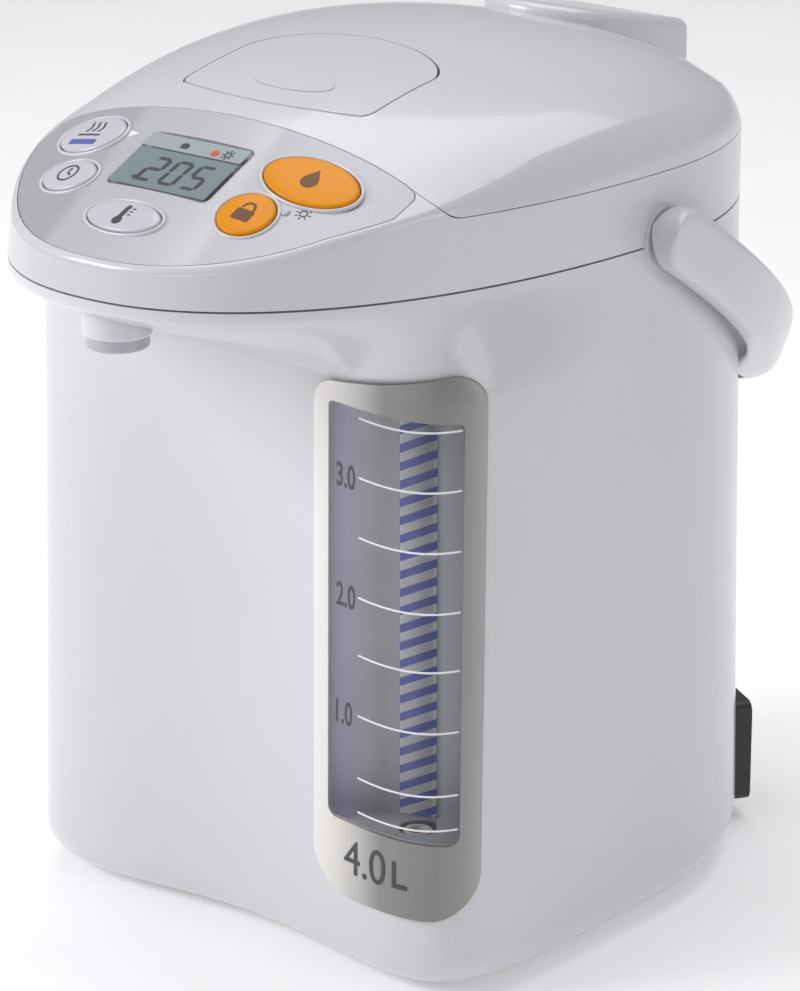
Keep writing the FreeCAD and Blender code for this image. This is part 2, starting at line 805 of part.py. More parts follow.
def build_panel():
    """Control panel: a leaf-shaped plate that follows the beak."""
    plate = prism(panel_outline(0.0), mm.seam_level, TOP).common(CROWN)
    plate = plate.cut(crown_under(mm.panel_thick))
    window = rounded_plate(mm.display_width, mm.display_depth, 3.0, -6, 6)
    plate = plate.cut(placed(window, on_crown(mm.display_x, mm.display_y)))
    for x, y, wide, deep in BUTTONS.values():
        plate = plate.cut(placed(oval(wide, deep, -6, 6, mm.button_gap), on_crown(x, y)))
    lamp = Part.makeCylinder(1.6, 12, Vector(0, 0, -6))
    return plate.cut(placed(lamp, on_crown(*LAMP_SPOT)))


# Outer case with the lip under the beak

def window_wire(margin, low, high, corner):
    """Upright rounded rectangle in the window's own plane."""
    plate = rounded_plate(mm.window_width - 2 * margin, high - low, corner, 0, 80)
    turn = Rotation(Vector(0, 0, 1), mm.window_turn).multiply(Rotation(Vector(1, 0, 0), 90))
    centre = window_centre()
    depth = Vector(math.sin(math.radians(mm.window_turn)), -math.cos(math.radians(mm.window_turn)), 0)
    base = centre - depth * 25 + Vector(0, 0, 0.5 * (low + high))
    return placed(plate, Placement(base, turn))


def window_centre():
    """Middle of the window in plan, on the wall."""
    along = Vector(math.cos(math.radians(mm.window_turn)), math.sin(math.radians(mm.window_turn)), 0)
    left = Vector(mm.window_left, -mm.wall_reach + 4.0, 0)
    return left + along * (mm.window_width / 2)


def build_case():
    outer = case_solid(0.0, mm.case_bottom, mm.seam_level - mm.seam_gap)
    inner = case_solid(mm.shell_wall, mm.case_bottom + mm.shell_wall, mm.seam_level + 1.0)
    shell = outer.cut(inner)
    opening = prism(base_wire(0.0), 0, 20)
    shell = shell.cut(opening)
    shell = shell.cut(window_wire(mm.glass_margin - 2.0, mm.glass_bottom - 2.0, mm.glass_top + 2.0, 4.0))
    spout_hole = Part.makeCylinder(mm.spout_radius + 0.3, 60, Vector(0, mm.spout_y, 215))
    shell = shell.cut(spout_hole)
    shell = shell.cut(inlet_block(0.3, 12.0))
    for side in (-1, 1):
        boss = Part.makeCylinder(mm.boss_radius + 0.4, 40,
                                 Vector(side * 85, mm.handle_y, mm.handle_level), Vector(side, 0, 0))
        shell = shell.cut(boss)
    return shell


def base_wire(gap):
    """Plan of the opening in the bottom of the case."""
    points = [case_point(turn, 0.0, mm.base_round + 4.0 + gap) for turn in TURNS]
    return outline(points)


def inlet_block(grow, deep):
    """Block on the wall at the back right where the power inlet sits."""
    turn = math.radians(mm.inlet_turn)
    reach = case_point(turn, 30.0).Length
    low = mm.inlet_low - grow
    high = mm.inlet_high + grow
    half = mm.inlet_width / 2 + grow
    shape = box_between((reach - deep, -half, low), (reach + mm.inlet_proud, half, high))
    edges = [edge for edge in shape.Edges if edge.BoundBox.XLength > 5]
    shape = shape.makeFillet(4.0, edges)
    return placed(shape, Placement(Vector(0, 0, 0), Rotation(Vector(0, 0, 1), mm.inlet_turn)))


feature("outer_case", build_case())
feature("upper_collar", build_collar())
feature("lid_cover", build_lid())
feature("lid_lever", build_lever())
feature("control_panel", build_panel())


# Level window

def wall_band(outer, inner):
    """The straight part of the case wall between two insets."""
    low = mm.window_bottom - 8.0
    high = mm.window_top + 0.5
    skin = Part.makeLoft([section(low, 0.0, outer), section(high, 0.0, outer)], True, True)
    core = Part.makeLoft([section(low, 0.0, inner), section(high, 0.0, inner)], True, True)
    return skin.cut(core)


def build_window_frame():
    skin = wall_band(-mm.frame_thick, 0.0)
    skin = skin.common(window_wire(0.0, mm.window_bottom, mm.window_top, mm.window_round))
    return skin.cut(window_wire(mm.glass_margin, mm.glass_bottom, mm.glass_top, 2.0))


def build_window_lens():
    """Clear cover: a raised field in the frame and a flange behind the frame."""
    gap = mm.glass_gap
    field = wall_band(-0.4, mm.shell_wall - 0.8)
    field = field.common(window_wire(mm.glass_margin + gap, mm.glass_bottom + gap, mm.glass_top - gap, 2.0))
    flange = wall_band(0.1, mm.shell_wall - 0.8)
    step = mm.glass_margin - 2.0 + gap
    flange = flange.common(window_wire(step, mm.glass_bottom - 2.0 + gap, mm.glass_top + 2.0 - gap, 4.0))
    return field.fuse(flange)


feature("window_frame", build_window_frame())
feature("window_lens", build_window_lens())


# Carrying handle

def bail_outline(half, reach, start):
    """Half of a superellipse as the plan of the bail, from arm to arm."""
    points = []
    for step in range(25):
        turn = math.pi * step / 24
        across = abs(math.cos(turn)) ** (2.0 / mm.handle_power)
        along = abs(math.sin(turn)) ** (2.0 / mm.handle_power)
        x = math.copysign(half * across, math.cos(turn))
        points.append(Vector(x, start + (reach - start) * along, 0))
    curve = Part.BSplineCurve()
    curve.interpolate(points)
    return curve.toShape()


def build_handle():
    """Bail handle: a curved band with two round ends on the pivots."""
    inner_half = mm.half_width + mm.handle_gap
    outer_half = inner_half + mm.handle_thick
    straight = 6.0
    reach = mm.handle_arm
    outer = bail_outline(outer_half, reach, straight)
    inner = bail_outline(inner_half, reach - mm.handle_grip_thick, straight)
    ends = [
        Part.LineSegment(Vector(outer_half, straight, 0), Vector(outer_half, 0, 0)).toShape(),
        Part.LineSegment(Vector(outer_half, 0, 0), Vector(inner_half, 0, 0)).toShape(),
        Part.LineSegment(Vector(inner_half, 0, 0), Vector(inner_half, straight, 0)).toShape(),
        inner,
        Part.LineSegment(Vector(-inner_half, straight, 0), Vector(-inner_half, 0, 0)).toShape(),
        Part.LineSegment(Vector(-inner_half, 0, 0), Vector(-outer_half, 0, 0)).toShape(),
        Part.LineSegment(Vector(-outer_half, 0, 0), Vector(-outer_half, straight, 0)).toShape(),
        outer,
    ]
    wire = Part.Wire(Part.__sortEdges__(ends))
    half = mm.handle_width / 2
    band = prism(wire, -half, half)
    for side in (-1, 1):
        near = inner_half if side > 0 else -inner_half - mm.handle_thick
        end = Part.makeCylinder(half, mm.handle_thick, Vector(near, 0, 0), Vector(1, 0, 0))
        band = band.fuse(end)
        hole = Part.makeCylinder(mm.handle_pin_radius + mm.handle_pin_gap, mm.handle_thick - 2.5 + 0.5,
                                 Vector(side * (inner_half - 0.5), 0, 0), Vector(side, 0, 0))
        band = band.cut(hole)
    pocket = box_between((-62, reach - mm.handle_grip_thick + 4.5, -half - 1),
                         (62, reach - 4.5, half - 4.0))
    limit = prism(Part.Wire([bail_outline(outer_half - 4.5, reach - 4.5, straight),
                             Part.LineSegment(Vector(outer_half - 4.5, straight, 0),
                                              Vector(-outer_half + 4.5, straight, 0)).toShape()]),
                  -half - 1, half)
    void = prism(Part.Wire([bail_outline(inner_half + 4.5, reach - mm.handle_grip_thick + 4.5, straight),
                            Part.LineSegment(Vector(inner_half + 4.5, straight, 0),
                                             Vector(-inner_half - 4.5, straight, 0)).toShape()]),
                 -half - 2, half + 1)
    pocket = pocket.common(limit).cut(void)
    band = band.cut(pocket)
    turn = Rotation(Vector(1, 0, 0), -mm.handle_droop)
    return placed(band, Placement(Vector(0, mm.handle_y, mm.handle_level), turn))


feature("handle", build_handle())


# Display and buttons

def build_display_lens():
    lens = rounded_plate(mm.display_width - 0.6, mm.display_depth - 0.6, 2.7, -2.2, -0.3)
    return placed(lens, on_crown(mm.display_x, mm.display_y))


def build_display_module():
    """Display glass with its light box, standing on the control board."""
    glass = rounded_plate(mm.display_width - 4.0, mm.display_depth - 4.0, 1.0,
                          mm.board_thick, mm.board_drop - 2.7)
    seat = board_placement()
    return placed(glass, seat.multiply(Placement(Vector(mm.display_x, 4.8, 0), Rotation())))


feature("display_lens", build_display_lens())
feature("display_module", build_display_module())


def build_button(name):
    """Oval cap with a rounded top and a plunger towards its switch."""
    x, y, wide, deep = BUTTONS[name]
    cap = oval(wide, deep, mm.button_proud - mm.button_height, mm.button_proud)
    rim = [edge for edge in cap.Edges if edge.BoundBox.ZMin > mm.button_proud - 0.01]
    cap = cap.makeFillet(0.8, rim)
    plunger = Part.makeCylinder(2.0, 2.0, Vector(0, 0, mm.button_proud - mm.button_height - 2.0))
    return placed(cap.fuse(plunger), on_crown(x, y))


for button in BUTTONS:
    feature(button, build_button(button))


def build_board():
    """Control board, trimmed to the room inside the beak."""
    plate = placed(rounded_plate(mm.board_width, mm.board_depth, 3.0, 0, mm.board_thick), board_placement())
    return plate.common(crown_prism(mm.seam_level, TOP, mm.shell_wall + 1.5))


def build_switches():
    """One small switch under the plunger of each button."""
    seat = board_placement()
    inverse = seat.inverse()
    switches = []
    for x, y, wide, deep in BUTTONS.values():
        drop = mm.button_height - mm.button_proud + 2.0 + mm.button_travel + mm.switch_clearance
        top = inverse.multVec(on_crown(x, y, -drop).Base)
        body = box_between((top.x - 3, top.y - 3, mm.board_thick), (top.x + 3, top.y + 3, top.z - 0.6))
        stem = Part.makeCylinder(1.6, 0.5, Vector(top.x, top.y, top.z - 0.6))
        switches.append(placed(body.fuse(stem), seat))
    return Part.makeCompound(switches)


feature("control_board", build_board())
feature("button_switches", build_switches())

lamp = Part.makeCylinder(1.5, 6.0, Vector(0, 0, -5.8))
feature("dispense_lamp", placed(lamp, on_crown(*LAMP_SPOT)))

# Spout and its ring

ring_top = "spout_bottom + spout_ring_height"
spout = turned("Spout", [
    ("spout_bore", "spout_bottom + 1"),
    ("nozzle_radius", "spout_bottom + 1"),
    ("nozzle_radius", ring_top),
    ("spout_radius", ring_top),
    ("spout_radius", "spout_top"),
    ("spout_bore", "spout_top"),
], 0, "spout_y")
round_rims(spout, "SpoutEdge", "spout_round", [(mm.spout_radius, mm.spout_bottom + mm.spout_ring_height)])
node(spout, "spout")
spout_ring = ring("SpoutRing", "spout_ring_radius", "nozzle_radius", "spout_bottom", ring_top, 0, "spout_y")
round_rims(spout_ring, "SpoutRingEdge", "spout_round", [(mm.spout_ring_radius, mm.spout_bottom)])
node(spout_ring, "spout_ring")


# Hoses and the level gauge

def tube(points, radius, bend):
    """A round bar along straight runs joined by tangent arcs."""
    corners = [Vector(*point) for point in points]
    edges = []
    start = corners[0]
    for before, corner, after in zip(corners, corners[1:], corners[2:]):
        arriving = (corner - before).normalize()
        leaving = (after - corner).normalize()
        half_turn = 0.5 * arriving.getAngle(leaving)
        cut_back = bend * math.tan(half_turn)
        first = corner - arriving * cut_back
        last = corner + leaving * cut_back
        inward = (leaving - arriving).normalize()
        middle = corner + inward * (bend / math.cos(half_turn) - bend)
        edges.append(Part.LineSegment(start, first).toShape())
        edges.append(Part.Arc(first, middle, last).toShape())
        start = last
    edges.append(Part.LineSegment(start, corners[-1]).toShape())
    path = Part.Wire(edges)
    direction = (corners[1] - corners[0]).normalize()
    profile = Part.Wire([Part.Circle(corners[0], direction, radius).toShape()])
    return path.makePipeShell([profile], True, False)


def hose(points, bend):
    return tube(points, mm.hose_radius, bend).cut(tube(points, mm.hose_bore, bend))


pump_outlet = mm.pump_low + 7.5
gauge_low = mm.glass_bottom - 4.0
gauge_high = mm.glass_top + 29.0
feature("delivery_hose", hose([
    (mm.pump_x + mm.pump_radius + 12.0, mm.pump_y, pump_outlet),
    (mm.pump_x + mm.pump_radius + 36.0, mm.pump_y, pump_outlet),
    (mm.gauge_x, mm.gauge_y + 16.0, pump_outlet),
    (mm.gauge_x, mm.gauge_y, pump_outlet - 2.0),
    (mm.gauge_x, mm.gauge_y, gauge_low),
], 7.0))
feature("spout_hose", hose([
    (mm.gauge_x, mm.gauge_y, gauge_high),
    (mm.gauge_x, mm.gauge_y, mm.spout_top + 6.0),
    (48.0, mm.spout_y + 28.0, mm.spout_top + 6.0),
    (0.0, mm.spout_y, mm.spout_top + 6.0),
    (0.0, mm.spout_y, mm.spout_top),
], 7.0))
gauge = ring("GaugeTube", "gauge_radius", "gauge_radius - gauge_wall", "glass_bottom - 4",
             "glass_top + 29", "gauge_x", "gauge_y")
node(gauge, "gauge_tube")


def gauge_slab(near, far, half, low, high):
    """Upright slab parallel to the window's chord, by its distance from the axis."""
    plate = box_between((near, -half, low), (far, half, high))
    turn = mm.window_turn - 90.0
    normal = Vector(math.cos(math.radians(turn)), math.sin(math.radians(turn)), 0)
    along = Vector(-normal.y, normal.x, 0)
    shift = along * window_centre().dot(along)
    return placed(plate, Placement(shift, Rotation(Vector(0, 0, 1), turn)))


def build_gauge_tray():
    """Tray behind the window that carries the gauge tube and the strip."""
    back = gauge_distance() - 1.2
    low = mm.glass_bottom - 5.0
    high = mm.glass_top + 5.0
    room = Part.makeLoft([section(low - 2, 0.0, mm.shell_wall + 0.2),
                          section(high + 2, 0.0, mm.shell_wall + 0.2)], True, True)
    tray = gauge_slab(back, back + 60, 33.5, low, high)
    tray = tray.cut(gauge_slab(back + 1.2, back + 70, 32.0, low + 1.5, high - 1.5)).common(room)
    pipe = Part.makeCylinder(mm.gauge_radius + 0.15, 300, Vector(mm.gauge_x, mm.gauge_y, 20))
    return tray.cut(pipe)


def gauge_distance():
    """Distance of the tray's front face from the pot's axis."""
    turn = math.radians(mm.window_turn - 90.0)
    return mm.gauge_x * math.cos(turn) + mm.gauge_y * math.sin(turn) - mm.gauge_radius - 4.3


def build_strip():
    """Striped strip that shows through the gauge tube."""
    near = gauge_distance()
    strip = gauge_slab(near, near + mm.strip_thick, mm.strip_width / 2,
                       mm.glass_bottom - 3, mm.glass_top + 3)
    turn = math.radians(mm.window_turn)
    along = Vector(math.cos(turn), math.sin(turn), 0)
    spot = Vector(mm.gauge_x - 6.6, mm.gauge_y + 7.9, 0)
    strip.translate(along * (spot - window_centre()).dot(along))
    return strip


feature("gauge_tray", build_gauge_tray())
feature("gauge_strip", build_strip())

# Inner pot, its cradle, gasket and heater

pot = turned("InnerPot", [
    (0, "pot_floor - pot_wall"),
    ("pot_radius + pot_wall", "pot_floor - pot_wall"),
    ("pot_radius + pot_wall", "pot_rim - flange_thick"),
    ("flange_radius", "pot_rim - flange_thick"),
    ("flange_radius", "pot_rim"),
    ("pot_radius", "pot_rim"),
    ("pot_radius", "pot_floor"),
    (0, "pot_floor"),
])
round_rims(pot, "PotCornerOutside", "pot_round + pot_wall",
           [(mm.pot_radius + mm.pot_wall, mm.pot_floor - mm.pot_wall)])
round_rims(pot, "PotCornerInside", "pot_round", [(mm.pot_radius, mm.pot_floor)])
drill(pot, "PotDrain", draw_circle(pot, "DrainCircle", "hose_radius", "pump_x", "pump_y"))
node(pot, "inner_pot")
node(ring("MouthGasket", "flange_radius", "pot_radius + mouth_gap", "pot_rim", "pot_rim + gasket_thick"),
     "mouth_gasket")
plate_top = "case_bottom + shell_wall + base_plate_thick - 0.5"
cradle_tube = ring("CradleTube", "cradle_radius", "cradle_radius - cradle_wall", plate_top,
                   "pot_floor - pot_wall")
CRADLE_SCREWS = [(mm.cradle_post_circle * math.cos(math.radians(turn)),
                  mm.cradle_post_circle * math.sin(math.radians(turn))) for turn in (20, 160, 215, 325)]
cradle_posts = [cylinder("CradlePost%d" % i, "cradle_post_radius", 14, x, y, plate_top)
                for i, (x, y) in enumerate(CRADLE_SCREWS)]
cradle_holes = [cylinder("CradleHole%d" % i, "screw_radius", 12, x, y, plate_top + " - 1")
                for i, (x, y) in enumerate(CRADLE_SCREWS)]
cradle_window = block("CradleWindow", "hose_gate_length", "hose_gate_width", "hose_gate_tall",
                      "hose_gate_x", "hose_gate_y", "pump_low - 3")
cradle_body = cut("CradleOpen", fuse("CradleSolid", cradle_tube, *cradle_posts),
                  fuse("CradleHoles", cradle_window, *cradle_holes))
node(cradle_body, "pot_cradle")
heater_top = "pot_floor - pot_wall"
node(turned("Heater", [
    (0, heater_top + " - heater_thick"),
    ("heater_radius", heater_top + " - heater_thick"),
    ("heater_radius", heater_top + " - 1.5"),
    ("heater_radius - 3", heater_top),
    (0, heater_top),
]), "heater_plate")
node(cylinder("Thermistor", 4, 7, 0, 0, heater_top + " - heater_thick - 7"), "thermistor")
node(block("Fuse", 14, 8, 5, 14, 10, heater_top + " - heater_thick - 5"), "thermal_fuse")

# Pump: housing with post and nozzle, impeller, magnet rotor, motor and its mount

pump_shell = cylinder("PumpShell", "pump_radius", "pump_high - pump_low - 2", "pump_x", "pump_y", "pump_low")
pump_neck = cylinder("PumpNeck", "hose_radius + 2", "pot_floor - pot_wall - pump_low - 5", "pump_x",
                     "pump_y", "pump_low + 5")
pump_nozzle = cylinder("PumpNozzle", "hose_radius", "pump_radius + 12", "pump_x", "pump_y",
                       "pump_low + 7.5", Rotation(Vector(0, 1, 0), 90))
pump_room = cylinder("PumpRoom", "pump_radius - pump_wall", "pump_high - pump_low - 6", "pump_x",
                     "pump_y", "pump_low + pump_wall")
pump_throat = cylinder("PumpThroat", "hose_radius", 40, "pump_x", "pump_y", "pump_low + 10")
pump_exit = cylinder("PumpExit", "hose_bore", "pump_radius + 20", "pump_x", "pump_y", "pump_low + 7.5",
                     Rotation(Vector(0, 1, 0), 90))
pump_post = cylinder("PumpPost", "shaft_radius", 9, "pump_x", "pump_y", "pump_low + pump_wall - 1")
pump_hollow = cut("PumpHollow", fuse("PumpSolid", pump_shell, pump_neck, pump_nozzle),
                  fuse("PumpSpace", pump_room, pump_throat, pump_exit))
node(fuse("PumpHousing", pump_hollow, pump_post), "pump_housing")


VANE_CORNERS = (
    ("shaft_radius + 1.2", "0 - 0.6"),
    ("0.5 * impeller_radius", 1.8),
    ("impeller_radius - 0.6", 1.2),
    ("impeller_radius - 0.6", 2.4),
    ("0.5 * impeller_radius", 3.2),
    ("shaft_radius + 1.2", 0.8),
)


def build_impeller():
    """Open impeller: disc, hub and six bent vanes as a polar pattern."""
    body = doc.addObject("PartDesign::Body", "Impeller")
    pad(body, "ImpellerDisc", draw_circle(body, "DiscCircle", "impeller_radius"), 1.4)
    pad(body, "ImpellerHub", draw_circle(body, "HubCircle", "shaft_radius + 1.8"), "vane_tall + 1")
    vane = pad(body, "ImpellerVane", draw_profile(body, "VaneOutline", VANE_CORNERS, "XY_Plane"), "vane_tall")
    vanes = body.newObject("PartDesign::PolarPattern", "ImpellerVanes")
    vanes.Originals = [vane]
    vanes.Axis = (vane.Profile[0], ["N_Axis"])
    vanes.Angle = 360.0
    vanes.Occurrences = 6
    body.Tip = vanes
    drill(body, "ImpellerBore", draw_circle(body, "BoreCircle", "shaft_radius + shaft_gap"))
    return place(body, "pump_x", "pump_y", "pump_low + pump_wall + 0.8")


node(build_impeller(), "impeller")
node(turned("Rotor", [
    (0, "motor_low + 4"),
    ("shaft_radius", "motor_low + 4"),
    ("shaft_radius", "pump_low - magnet_thick - 1"),
    ("motor_radius", "pump_low - magnet_thick - 1"),
    ("motor_radius", "pump_low - 1"),
    (0, "pump_low - 1"),
], "pump_x", "pump_y"), "drive_magnet")
node(turned("Motor", [
    (0, plate_top),
    ("motor_radius", plate_top),
    ("motor_radius", plate_top + " + motor_tall"),
    ("shaft_radius + shaft_gap", plate_top + " + motor_tall"),
    ("shaft_radius + shaft_gap", "motor_low + 3.5"),
    (0, "motor_low + 3.5"),
], "pump_x", "pump_y"), "pump_motor")
node(turned("MotorMount", [
    ("motor_radius + shaft_gap", "pump_low - 9"),
    ("pump_radius", "pump_low - 9"),
    ("pump_radius", "pump_low"),
    ("motor_radius + 2", "pump_low"),
    ("motor_radius + 2", "pump_low - 7"),
    ("motor_radius + shaft_gap", "pump_low - 7"),
], "pump_x", "pump_y"), "motor_mount")
node(ring("OutletFilter", "hose_radius + 4", "hose_radius", "pot_floor", "pot_floor + 3", "pump_x", "pump_y"),
     "outlet_filter")

# Bottom: plate, feet and screws

plate = prism(base_wire(0.4), mm.case_bottom, mm.case_bottom + mm.shell_wall)
flange_low = mm.case_bottom + mm.shell_wall
flange = prism(base_wire(-2.5), flange_low, flange_low + mm.base_plate_thick - 0.5)
base_shape = plate.fuse(flange)
for x, y in CRADLE_SCREWS:
    base_shape = base_shape.cut(Part.makeCylinder(mm.screw_radius + 0.3, 12, Vector(x, y, 0)))
    base_shape = base_shape.cut(Part.makeCylinder(mm.screw_head_radius + 0.4, 3.4, Vector(x, y, 0)))
BOARD_FEET = [(-54.0, 8.0), (-54.0, 42.0), (-16.0, 8.0), (-16.0, 42.0)]
for x, y in BOARD_FEET:
    base_shape = base_shape.fuse(Part.makeCylinder(3.0, 6.0, Vector(x, y, flange_low + 2.0)))
feature("base_plate", base_shape)
FEET = [("foot_circle_x", "foot_circle_y - 4"), ("0 - foot_circle_x", "foot_circle_y - 4"),
        ("foot_circle_x - 4", "4 - foot_circle_y"), ("4 - foot_circle_x", "4 - foot_circle_y")]
feet = [cylinder("Foot%d" % i, "foot_radius", "case_bottom", x, y, 0) for i, (x, y) in enumerate(FEET)]
node(fuse("Feet", *feet), "rubber_feet")
screws = []
for i, (x, y) in enumerate(CRADLE_SCREWS):
    head = cylinder("ScrewHead%d" % i, "screw_head_radius", 1.8, x, y, "case_bottom + 0.1")
    shank = cylinder("ScrewShank%d" % i, "screw_radius", 11.0, x, y, "case_bottom + 1.9")
    screws.append(fuse("Screw%d" % i, head, shank))
node(fuse("Screws", *screws), "base_screws")
power = block("PowerBoard", "power_board_length", "power_board_width", "board_thick",
              -60, 2, "case_bottom + shell_wall + 8")
node(power, "power_board")

# Power inlet at the back right

inlet = inlet_block(0.0, 12.0)
inlet_turned = Rotation(Vector(0, 0, 1), mm.inlet_turn)
inlet_face = case_point(math.radians(mm.inlet_turn), 30.0).Length + mm.inlet_proud
middle = 0.5 * (mm.inlet_low + mm.inlet_high)
pocket = box_between((inlet_face - 9.0, -14.0, middle - 11.0), (inlet_face + 1.0, 14.0, middle + 11.0))
inlet = inlet.cut(placed(pocket, Placement(Vector(), inlet_turned)))
feature("inlet_housing", inlet)
strap = box_between((inlet_face - 9.0, -13.0, middle - 10.0), (inlet_face - 7.5, 13.0, middle + 10.0))
pins = []
for side in (-1, 1):
    hole = Part.makeCylinder(2.6, 10.0, Vector(inlet_face - 10.0, side * 6.0, middle), Vector(1, 0, 0))
    strap = strap.cut(hole)
    pins.append(placed(Part.makeCylinder(1.8, 7.0, Vector(inlet_face - 9.0, side * 6.0, middle),
                                         Vector(1, 0, 0)), Placement(Vector(), inlet_turned)))
feature("inlet_magnet_plate", placed(strap, Placement(Vector(), inlet_turned)))
feature("inlet_pins", Part.makeCompound(pins))

# Lid inside: plate, seal, metal cover, steam valve, latch bolt, pins

plate_low = mm.lid_level + mm.lid_gap + 0.1
inner = crown_prism(mm.seam_level, TOP, mm.lid_wall + 0.3).common(crown_under(mm.lid_wall + 0.3))
inner = inner.common(box_between((-120, -mm.lid_front + mm.lid_wall + 0.3, plate_low),
                                 (120, 130, plate_low + 2)))
inner = inner.fuse(box_between((-mm.bolt_half, -98, plate_low + 2), (mm.bolt_half, -72, mm.bolt_level - 0.2)))
inner = inner.cut(box_between((-24, mm.hinge_y - 14, 200), (24, 140, TOP)))
feature("lid_inner_plate", inner)
cover_low = "pot_rim + 1"
inner_low = "lid_level + lid_gap + 0.1"
node(turned("LidSeal", [
    ("seal_radius - seal_wall", "pot_rim - 1.5"),
    ("seal_radius - 1.2", "pot_rim - 1.5"),
    ("seal_radius", "pot_rim"),
    ("seal_radius", inner_low),
    ("seal_radius - seal_wall", inner_low),
]), "lid_seal")
cover = turned("InnerCover", [
    (0, cover_low),
    ("cover_radius + cover_wall", cover_low),
    ("cover_radius + cover_wall", inner_low),
    ("cover_radius", inner_low),
    ("cover_radius", cover_low + " + cover_wall"),
    (0, cover_low + " + cover_wall"),
])
round_rims(cover, "CoverCornerOutside", "pot_round", [(mm.cover_radius + mm.cover_wall, mm.pot_rim + 1.0)])
round_rims(cover, "CoverCornerInside", "pot_round - cover_wall",
           [(mm.cover_radius, mm.pot_rim + 1.0 + mm.cover_wall)])
node(cover, "inner_lid_cover")
node(ring("SteamValve", 9, 4, plate_low + 2, plate_low + 14, 0, 40), "steam_valve")
bolt = doc.addObject("PartDesign::Body", "LatchBolt")
pad(bolt, "BoltBar", draw_profile(bolt, "BoltSide", [
    ("0 - lid_front", "bolt_level"),
    ("0 - bolt_back", "bolt_level"),
    ("0 - bolt_back", "bolt_level + bolt_thick"),
    ("0 - lid_front - 4", "bolt_level + bolt_thick"),
    ("0 - lid_front - 4", "bolt_level + 0.5 * bolt_thick"),
], "YZ_Plane"), "2 * bolt_half", True)
node(bolt, "latch_bolt")
node(cylinder("HingePin", "hinge_pin_radius", "2 * (barrel_half + lug_gap + lug_width)",
              "0 - barrel_half - lug_gap - lug_width", "hinge_y", "hinge_level",
              Rotation(Vector(0, 1, 0), 90)), "hinge_pin")
feature("lever_pins", Part.makeCompound([lever_pin_shape(side, mm.lever_pin_radius) for side in (-1, 1)]))


def check_document():
    """Stop if any object failed or a sub-part has no sound shape."""
    doc.recompute()
    for obj in doc.Objects:
        if "Invalid" in obj.State or "Error" in obj.State:
            raise RuntimeError("failed: " + obj.Name)
    for item in nodes:
        if item.Shape.isNull() or not item.Shape.isValid() or not item.Shape.Solids:
            raise RuntimeError("unsound shape: " + item.Label)


check_document()
os.makedirs("parts", exist_ok=True)
for item in nodes:
    item.Shape.exportStep("parts/%s.step" % item.Label)
print(len(nodes), "sub-parts")
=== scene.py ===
# %% [markdown]
# # Electric thermo pot, dressed for the picture
#
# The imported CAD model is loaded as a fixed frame. Its shells get smooth skins here, because the
# plastic is glossy and shows every facet. The inside, the level window and the small parts keep
# their CAD solids and get materials. Lengths are in millimetres until a mesh is made.

import json
import math

import bmesh
import bpy
import numpy as np
from mathutils import Matrix, Vector
from mathutils.bvhtree import BVHTree
from mathutils.geometry import tessellate_polygon


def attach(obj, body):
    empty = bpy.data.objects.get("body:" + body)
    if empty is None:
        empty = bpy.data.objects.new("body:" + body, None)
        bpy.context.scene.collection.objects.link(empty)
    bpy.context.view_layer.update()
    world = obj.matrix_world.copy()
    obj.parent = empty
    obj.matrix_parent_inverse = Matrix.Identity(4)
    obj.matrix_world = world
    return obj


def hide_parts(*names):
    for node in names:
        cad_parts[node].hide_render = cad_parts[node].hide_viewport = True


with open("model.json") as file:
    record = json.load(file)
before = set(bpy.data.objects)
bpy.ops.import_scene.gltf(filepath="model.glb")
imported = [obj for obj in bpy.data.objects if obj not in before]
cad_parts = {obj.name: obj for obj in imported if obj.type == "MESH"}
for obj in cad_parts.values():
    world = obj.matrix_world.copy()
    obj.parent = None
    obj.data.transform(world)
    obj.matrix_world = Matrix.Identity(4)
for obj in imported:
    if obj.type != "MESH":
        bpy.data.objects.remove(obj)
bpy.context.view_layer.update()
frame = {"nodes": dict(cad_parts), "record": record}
MM = 0.001

# %% [markdown]
# ## Driving sizes
#
# The same plan outlines as in the CAD source: the seam outline with the beak, and the case wall,
# which is nearly flat in front and slightly hollow there.

# %% Sizes in millimetres
HALF_WIDTH = 105.0
BACK_REACH = 113.9
BEAK_REACH = 183.6
BEAK_POWER = 2.19
WALL_REACH = 116.4
WALL_POWER = 6.3
WALL_HOLLOW = 11.0
BASE_FLARE = 0.043
BASE_ROUND = 16.0
CASE_BOTTOM = 1.5
SHELL_WALL = 2.8
SEAM_LEVEL = 251.5
LID_LEVEL = 276.6
SEAM_GAP = 0.35
LIP_FOOT = 216.0
LIP_EDGE = 248.0
CROWN_TOP = 313.9
BEAK_LEAN = 5.0
LEAN_POWER = 4
PANEL_MARGIN = 2.0
LID_FRONT = 106.5
PANEL_THICK = 1.4
PANEL_HALF = 80.2
PANEL_BACK = 108.0
HANDLE_AT = (0.0, -5.5, 253.5)
BAIL_HALF = 118.2
BAIL_THICK = 11.0
BAIL_DEEP = 17.0
BAIL_HIGH = 11.5
POCKET_WALL = 4.5
HANDLE_DROOP = 33.0
BAIL_REACH = 162.0
BAIL_POWER = 0.9
BOSS_RADIUS = 11.4
PIN_RADIUS = 5.0
MOUTH_RADIUS = 88.7
HINGE_Y = 111.0
HINGE_LEVEL = 285.0
BARREL_RADIUS = 5.0
BARREL_HALF = 15.0
HUMP_HALF = 26.0
HUMP_NOSE = 44.0
HUMP_BACK = 116.0
LEVER_HALF = 42.0
PAN_DEPTH = 9.0
WINDOW_TURN = 22.0
WINDOW_WIDTH = 68.5
WINDOW_LEFT = 39.0
FRAME_SIDES = (-35.0, 29.3)
FRAME_ENDS = (31.0, 215.5)
FRAME_RISE = 9.0
FRAME_PROUD = 1.3
GLASS_SIDES = (-28.5, 23.5)
GLASS_ENDS = (59.0, 208.6)
INLET_TURN = 58.0
